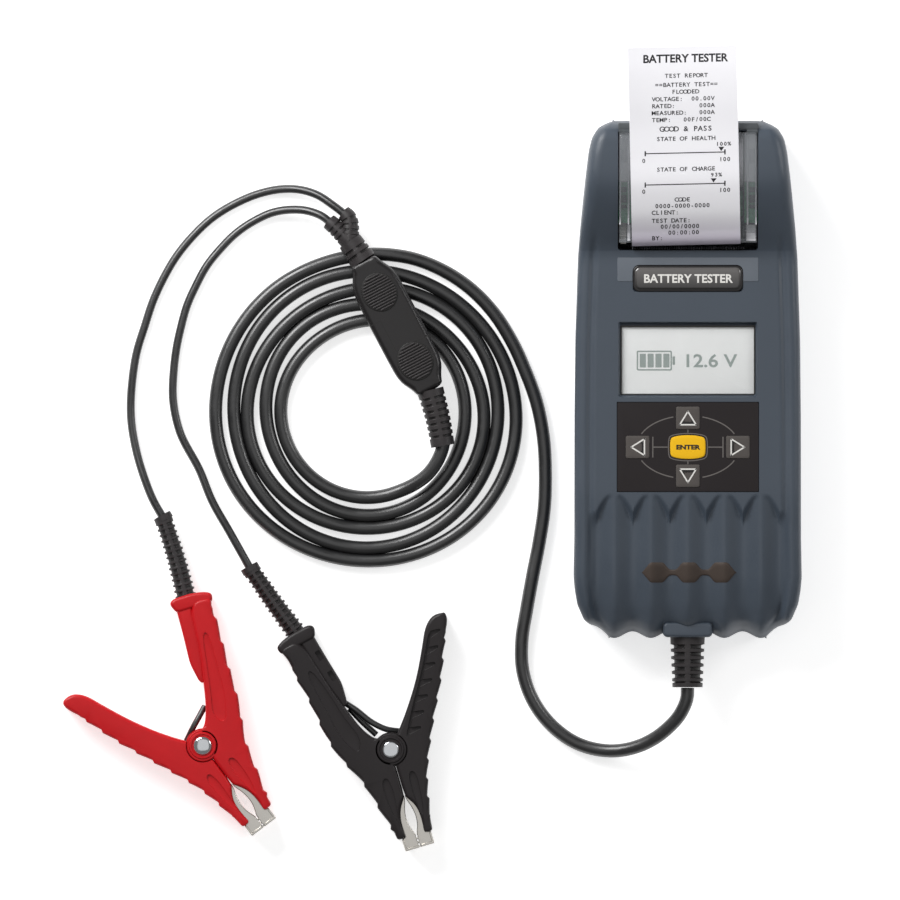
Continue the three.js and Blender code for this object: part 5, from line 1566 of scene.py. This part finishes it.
class TESTER_OT_printer(Operator):
    """The printer: cover, rollers, gears, frame, head, boards, paper roll and printed strip"""
    bl_idname = "tester.printer"
    bl_label = "Printer"

    def execute(self, context):
        self.cover()
        self.frame_and_boards()
        self.rollers()
        self.paper()
        self.motor()
        return {"FINISHED"}

    def cover(self):
        """The clear cover: the top profile offset outward, with a rounded rim and two hinge knuckles."""
        low, high = span("printer_cover")
        y = np.linspace(low[1] + 2.4, high[1] - 0.6, 70)
        x = lines_with_edges(-36.0, 36.0, 3.0, [(-36.0, 1), (36.0, -1)], 1.2)
        x = x[(x >= -36) & (x <= 36)]
        gx, gy = np.meshgrid(x, y)
        rim = 1.3 * (1 - np.sqrt(1 - np.clip((np.abs(gx) - 34.6) / 1.4, 0, 1) ** 2))
        top = top_height(gy) + 0.45 - rim
        upper = np.stack([gx, gy, top], -1)
        lower = np.stack([gx, gy, top - 2.0 + rim * 0.6], -1)[:, ::-1]
        shell = stack(np.concatenate([upper, lower], axis=1))
        lip = block(-36, 36, low[1] + 2.2, low[1] + 4.4, 48.6, 51.6, 0.5)
        # Painted highlights: thin pale strips inside the clear cover stand in for bright lines of light along
        # its side walls.
        highlight_strips = [block(*sorted((side * (at - 0.45), side * (at + 0.45))), 80, 126, 56.5, 57.4, 0.2)
                 for side in (-1, 1) for at in (31.0, 35.4)]
        add("clear_cover", shell, "clear", "printer_cover", "clear_plastic", "printer_cover", smooth=40)
        cheeks = [block(-31.6, -29.9, 71.5, 80, 40.6, 52.6, 0.4),
                  block(30.3, 35.4, 71.5, 80, 40.6, 52.6, 0.4)]
        add("cover_cheeks", joined(*cheeks, *highlight_strips), "pale", "printer_cover", "clear_plastic", smooth=40)
        add("cover_lip", lip, "clear", "printer_cover", "clear_plastic")
        knuckles = [cylinder(1.6, x0, x1, (0, 128.6, 65.0), "x", 24, core=0.05)
                    for x0, x1 in ((-36.2, -30.5), (30.5, 36.2))]
        add("cover_knuckles", joined(*knuckles), "frame", "printer_cover", "clear_plastic")
        add("window_rim", block(-36.5, 36.5, 129.3, 133.0, 60.5, 66.4, 0.8), "frame", "tester",
            "printer_plastic")

    def frame_and_boards(self):
        tub = build("printer_tub", block(*edges_of("printer_frame"), 0.6), finish("frame"))
        room = cylinder(15.2, -29.2, 29.2, (0, 113.6, 48), "x", 64)
        carve(tub, room, block(-29.2, 29.2, 84, 98, 30, 60, 0.05))
        place(tub, "tester", "printer_plastic", "printer_frame")
        wings = []
        for side in (-1, 1):
            x0, x1 = sorted((side * 29.5, side * 36.3))
            wings.append(block(x0, x1, 102.4, 128.6, 46, 55.0, 0.7))
            wings.append(block(x0, x1, 120.6, 128.6, 54, 59.5, 0.7))
        pale = build("frame_wings", joined(*wings), finish("pale"))
        slots = [block(*sorted((side * 32.0, side * 35.0)), 112.3, 119.6, 50, 57, 0.2) for side in (-1, 1)]
        carve(pale, *slots)
        place(pale, "tester", "printer_plastic")
        add("printer_logic", block(*edges_of("printer_board"), 0.1), "board", "tester", "circuit_board",
            "printer_board")
        sides = [block(*sorted((side * 29.4, side * 36.2)), 81, 102.2, 51.6, 52.8, 0.1) for side in (-1, 1)]
        add("side_boards", joined(*sides), "board", "tester", "circuit_board")
        chips = []
        for side in (-1, 1):
            for y, half in ((93.5, 2.0), (98.3, 1.4), (89.4, 0.9)):
                chips.append(block(*sorted((side * 32.0, side * 35.6)), y - half, y + half, 52.7, 54.0, 0.15))
        add("board_parts", joined(*chips), "black_ink", "tester", "gloss_black")
        x0, x1, y0, y1, z0, _ = edges_of("main_board")
        add("logic_board", block(x0, x1, y0, y1, z0, z0 + 1.6, 0.1, 2.0), "board", "tester", "circuit_board",
            "main_board")
        add("thermal_head", block(*edges_of("print_head"), 0.3), "ceramic", "tester", "ceramic_head",
            "print_head")
        bar_low, bar_high = span("tear_bar")
        x = np.linspace(bar_low[0], bar_high[0], 241)
        tooth = 0.8 * np.abs(((x / 1.2) % 1) - 0.5) * 2
        rings = [np.stack([x, np.full_like(x, y), z + tooth * lift], 1) for y, z, lift in
                 ((bar_low[1], bar_low[2], 0), (bar_low[1], bar_high[2] - 1.0, 1),
                  (bar_high[1], bar_high[2] - 1.2, 0.6), (bar_high[1], bar_low[2], 0))]
        add("tear_blade", stack(np.transpose(np.array(rings), (1, 0, 2))), "blade", "tester", "steel",
            "tear_bar", smooth=25)

    def gear_shape(self, x0, x1, y, z, teeth, root, tip, phase):
        """A spur gear: the radius steps between root and tip twice a tooth, with sloping flanks."""
        count = teeth * 12
        share = np.arange(count) / count * teeth + phase
        wave = np.abs((share % 1) - 0.5) * 2
        radius = root + (tip - root) * smoothstep(wave, 0.36, 0.62)
        radius = np.roll(radius, count // teeth // 2)
        angle = 2 * math.pi * np.arange(count) / count
        rings = []
        for x, inset in ((x0, 0.2), (x0 + 0.2, 0), (x1 - 0.2, 0), (x1, 0.2)):
            rings.append(np.stack([np.full(count, x), y + (radius - inset) * np.cos(angle),
                                   z + (radius - inset) * np.sin(angle)], 1))
        return stack(np.array(rings))

    def rollers(self):
        """The rubber platen on its steel axle, and the two gears."""
        low, high = span("platen_roller")
        roller = lathe([(0.05, -28.6), (4.3, -28.6), (4.5, -28.2), (4.5, 28.2), (4.3, 28.6), (0.05, 28.6)],
                       (0, PLATEN_Y, PLATEN_Z), "x", 48)
        axle = lathe([(0.05, low[0]), (1.6, low[0]), (1.8, low[0] + 0.3), (1.8, high[0] - 0.3),
                      (1.6, high[0]), (0.05, high[0])], (0, PLATEN_Y, PLATEN_Z), "x", 32)
        add("feed_platen", roller, "rubber", "platen", "platen_rubber", "platen_roller")
        add("platen_axle", axle, "steel", "platen", "steel")
        for node, body, y, phase in (("platen_gear", "platen", PLATEN_Y, 0.0),
                                     ("feed_gear", "feed_gear", FEED_Y, 0.5)):
            x1 = span(node)[1][0]
            shapes = [self.gear_shape(x1 - 3, x1, y, PLATEN_Z, 16, 4.1, 5.5, phase)]
            shapes.append(cylinder(2.4, x1 - 3.4, x1 + 0.25, (0, y, PLATEN_Z), "x", 32, core=0.05))
            add(node.replace("_gear", "_wheel"), joined(*shapes), "gear", body, "gear_plastic", node,
                smooth=30)

    def paper(self):
        """The roll with its hollow core, and the strip swept along its side view."""
        roll_low, roll_high = span("paper_roll")
        y, z = (roll_low[1] + roll_high[1]) / 2, (roll_low[2] + roll_high[2]) / 2
        half = roll_high[0]
        profile = np.array([(6.2, -half), (14.0, -half), (14.2, -half + 0.2), (14.2, half - 0.2),
                            (14.0, half), (6.2, half), (6.2, -half)])
        angle = np.linspace(0, 2 * math.pi, 72, endpoint=False)
        r = profile[:, :1]
        rings = np.stack([np.broadcast_to(profile[:, 1:], (len(profile), 72)), y + r * np.cos(angle),
                          z + r * np.sin(angle)], -1)
        add("receipt_roll", grid(rings, around=True), "paper", "paper_roll", "paper", "paper_roll")
        line = paper_line()
        across = np.linspace(-PAPER_HALF, PAPER_HALF, 25)
        curl = 0.25 * (across / PAPER_HALF) ** 2
        rise = smoothstep(line[:, 0], 40, 100)
        top = np.stack([np.broadcast_to(across, (len(line), 25)),
                        np.broadcast_to(line[:, :1], (len(line), 25)),
                        line[:, 1:2] + curl * (1 + 5 * rise[:, None])], -1)
        low = top - [0, 0, 0.16]
        strip = stack(np.concatenate([top, low[:, ::-1]], axis=1))
        piece = build("receipt", turned(strip, PAPER_TURN, (*PAPER_FOOT, 0)), paper_painted_shade_finish(), 60)
        self.bend(piece, "paper_strip")
        self.printing(line)

    def bend(self, piece, *nodes):
        """Places a piece of the strip, its place baked into its mesh, and hides the CAD nodes that it stands
        for.
        """
        if nodes:
            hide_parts(*nodes)
        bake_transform(piece)

    def printing(self, line):
        """The printed lines, laid flat on the strip: capitals 2.1 mm high in a fixed column."""
        rows = [
            (157.6, -1.0, 2.1, "TEST REPORT", True), (152.9, -1.0, 2.1, "==BATTERY TEST==", True),
            (149.2, -1.5, 2.1, "FLOODED", True), (145.5, -18.0, 2.1, "VOLTAGE:  00.00V", False),
            (141.9, -18.0, 2.1, "RATED:      000A", False), (138.3, -18.0, 2.1, "MEASURED:   000A", False),
            (134.7, -18.0, 2.1, "TEMP:   00F/00C", False), (129.9, -1.2, 2.6, "GOOD & PASS", True),
            (124.8, -1.2, 2.1, "STATE OF HEALTH", True), (121.6, 18.3, 1.9, "100%", True),
            (113.6, -23.2, 2.1, "0", True), (113.6, 19.0, 2.1, "100", True),
            (108.9, -1.2, 2.1, "STATE OF CHARGE", True), (105.6, 14.6, 1.9, "93%", True),
            (97.6, -23.2, 2.1, "0", True), (97.6, 19.0, 2.1, "100", True), (93.1, -3.0, 2.1, "CODE", True),
            (89.9, -3.0, 2.1, "0000-0000-0000", True), (86.5, -18.0, 2.1, "CLIENT:", False),
            (82.3, -18.0, 2.1, "TEST DATE:", False), (79.2, -13.5, 2.1, "00/00/0000", False),
            (76.0, -9.5, 2.1, "00:00:00", False), (73.3, -18.0, 2.1, "BY:", False),
        ]
        shapes = [text_shape("BATTERY TESTER", 4.1, -1.6, 164.6, 0, "CENTER", 0.98, 0.16)]
        for y, x, height, words, centred in rows:
            shapes += typed(words, height, x, y, 2.05 if height < 2.5 else 2.5, centred)
        for y in (117.3, 101.0):
            shapes.append(flat_bar(-22.4, 19.1, y - 0.25, y + 0.25))
            shapes += [flat_bar(x - 0.35, x + 0.35, y - 1.3, y + 1.3) for x in (-22.4, 19.1)]
        for x, y in ((17.2, 117.8), (13.2, 101.5)):
            corners = [[x - 1.5, y + 2.2, 0], [x, y, 0], [x + 1.5, y + 2.2, 0]]
            shapes.append((np.array(corners, float), [np.array([[0, 1, 2]])]))
        points, blocks = joined(*shapes)
        local_y = points[:, 1] - PAPER_FOOT[1]
        local_x = points[:, 0] - PAPER_FOOT[0] + local_y * math.radians(PAPER_TURN)
        rise = smoothstep(local_y, 40, 100)
        height = np.interp(local_y, line[:, 0], line[:, 1])
        height = height + 0.25 * (local_x / PAPER_HALF) ** 2 * (1 + 5 * rise) + 0.07
        shape = (np.column_stack([local_x, local_y, height]), blocks)
        piece = build("receipt_print", turned(shape, PAPER_TURN, (*PAPER_FOOT, 0)), finish("ink"),
                      closed=False)
        self.bend(piece)

    def motor(self):
        """The feed motor: a can with a rounded rim and a short pinion boss."""
        low, high = span("stepper_motor")
        y, z = (low[1] + high[1]) / 2, (low[2] + high[2]) / 2
        can = lathe([(0.05, low[0]), (6.9, low[0]), (7.5, low[0] + 0.6), (7.5, high[0] - 0.6), (6.9, high[0]),
                     (3.0, high[0]), (3.0, high[0] + 0.1), (0.05, high[0] + 0.1)], (0, y, z), "x", 48)
        add("feed_motor", can, "steel", "tester", "steel", "stepper_motor")


def flat_bar(x0, x1, y0, y1):
    """A printed bar, in steps that can follow the strip's bend where it is long."""
    points = np.array([[x0, y0, 0], [x1, y0, 0], [x1, y1, 0], [x0, y1, 0]], float)
    steps = 12
    x = np.linspace(x0, x1, steps)
    rows = np.stack([np.column_stack([x, np.full(steps, y0), np.zeros(steps)]),
                     np.column_stack([x, np.full(steps, y1), np.zeros(steps)])])
    return grid(rows) if x1 - x0 > 3 else (points, [np.array([[0, 1, 2, 3]])])


def paper_painted_shade_finish():
    # Thermal paper: nearly white, with painted lavender shade that deepens near the slot where the strip
    # bends up, and fibre grain.
    material, shader = new_material("receipt_paper", linear("#E6E4EA"), 0.75, IOR=1.45)
    # Painted shade: lavender grey near the slot, fading to near white further along the strip.
    where = shaded_along_y(material, shader, 0.068, 0.088, "#CCC5D4", "#F8F7FB", "SMOOTHSTEP")
    grain = add_node(material, "ShaderNodeTexNoise", {}, {"Vector": where, "Scale": 1 / (0.4 * MM)})
    bump = add_node(material, "ShaderNodeBump", {}, {"Height": grain.outputs["Fac"], "Distance": 0.004 * MM})
    material.node_tree.links.new(bump.outputs["Normal"], shader.inputs["Normal"])
    return material


# ---- cells --------------------------------------------------------------------------------------
class TESTER_OT_cells(Operator):
    """The six cells in the bay"""
    bl_idname = "tester.cells"
    bl_label = "Cells"

    def execute(self, context):
        for index in range(1, 7):
            low, high = span(f"cell_{index}")
            x, z = (low[0] + high[0]) / 2, (low[2] + high[2]) / 2
            up = index % 2 == 0
            length = high[1] - low[1]
            profile = [(0.05, 0), (5.6, 0), (6.7, 0.3), (7.1, 0.9), (7.1, length - 3.4), (6.6, length - 2.4),
                       (3.0, length - 2.0), (2.7, length - 1.6), (2.6, length - 0.3), (2.2, length),
                       (0.05, length)]
            profile = [(r, low[1] + h if up else high[1] - h) for r, h in profile]
            add(f"cell_can_{index}", lathe(profile, (x, 0, z), "y", 40), "cell", "tester", "cell_wrap",
                f"cell_{index}")
        return {"FINISHED"}


class TESTER_PT_panel(Panel):
    """The steps that build the tester"""
    bl_idname = "TESTER_PT_panel"
    bl_label = "Battery Tester"
    bl_space_type = "VIEW_3D"
    bl_region_type = "UI"
    bl_category = "Battery Tester"

    def draw(self, context):
        for step in STEPS:
            self.layout.operator(step.bl_idname)
        for group in (context.scene.tester_colours, context.scene.tester_sizes):
            for name in group.__annotations__:
                self.layout.prop(group, name)


STEPS = (TESTER_OT_stage, TESTER_OT_cords, TESTER_OT_case, TESTER_OT_face, TESTER_OT_cells, TESTER_OT_printer,
         TESTER_OT_clamps)
CLASSES = (TesterColours, TesterSizes, *STEPS, TESTER_PT_panel)


def register():
    for item in CLASSES:
        bpy.utils.register_class(item)
    bpy.types.Scene.tester_colours = PointerProperty(type=TesterColours)
    bpy.types.Scene.tester_sizes = PointerProperty(type=TesterSizes)


def unregister():
    del bpy.types.Scene.tester_sizes
    del bpy.types.Scene.tester_colours
    for item in reversed(CLASSES):
        bpy.utils.unregister_class(item)


def main():
    register()
    for step in STEPS:
        group, name = step.bl_idname.split(".")
        getattr(getattr(bpy.ops, group), name)()
    bpy.context.view_layer.update()


if __name__ == "__main__":
    main()
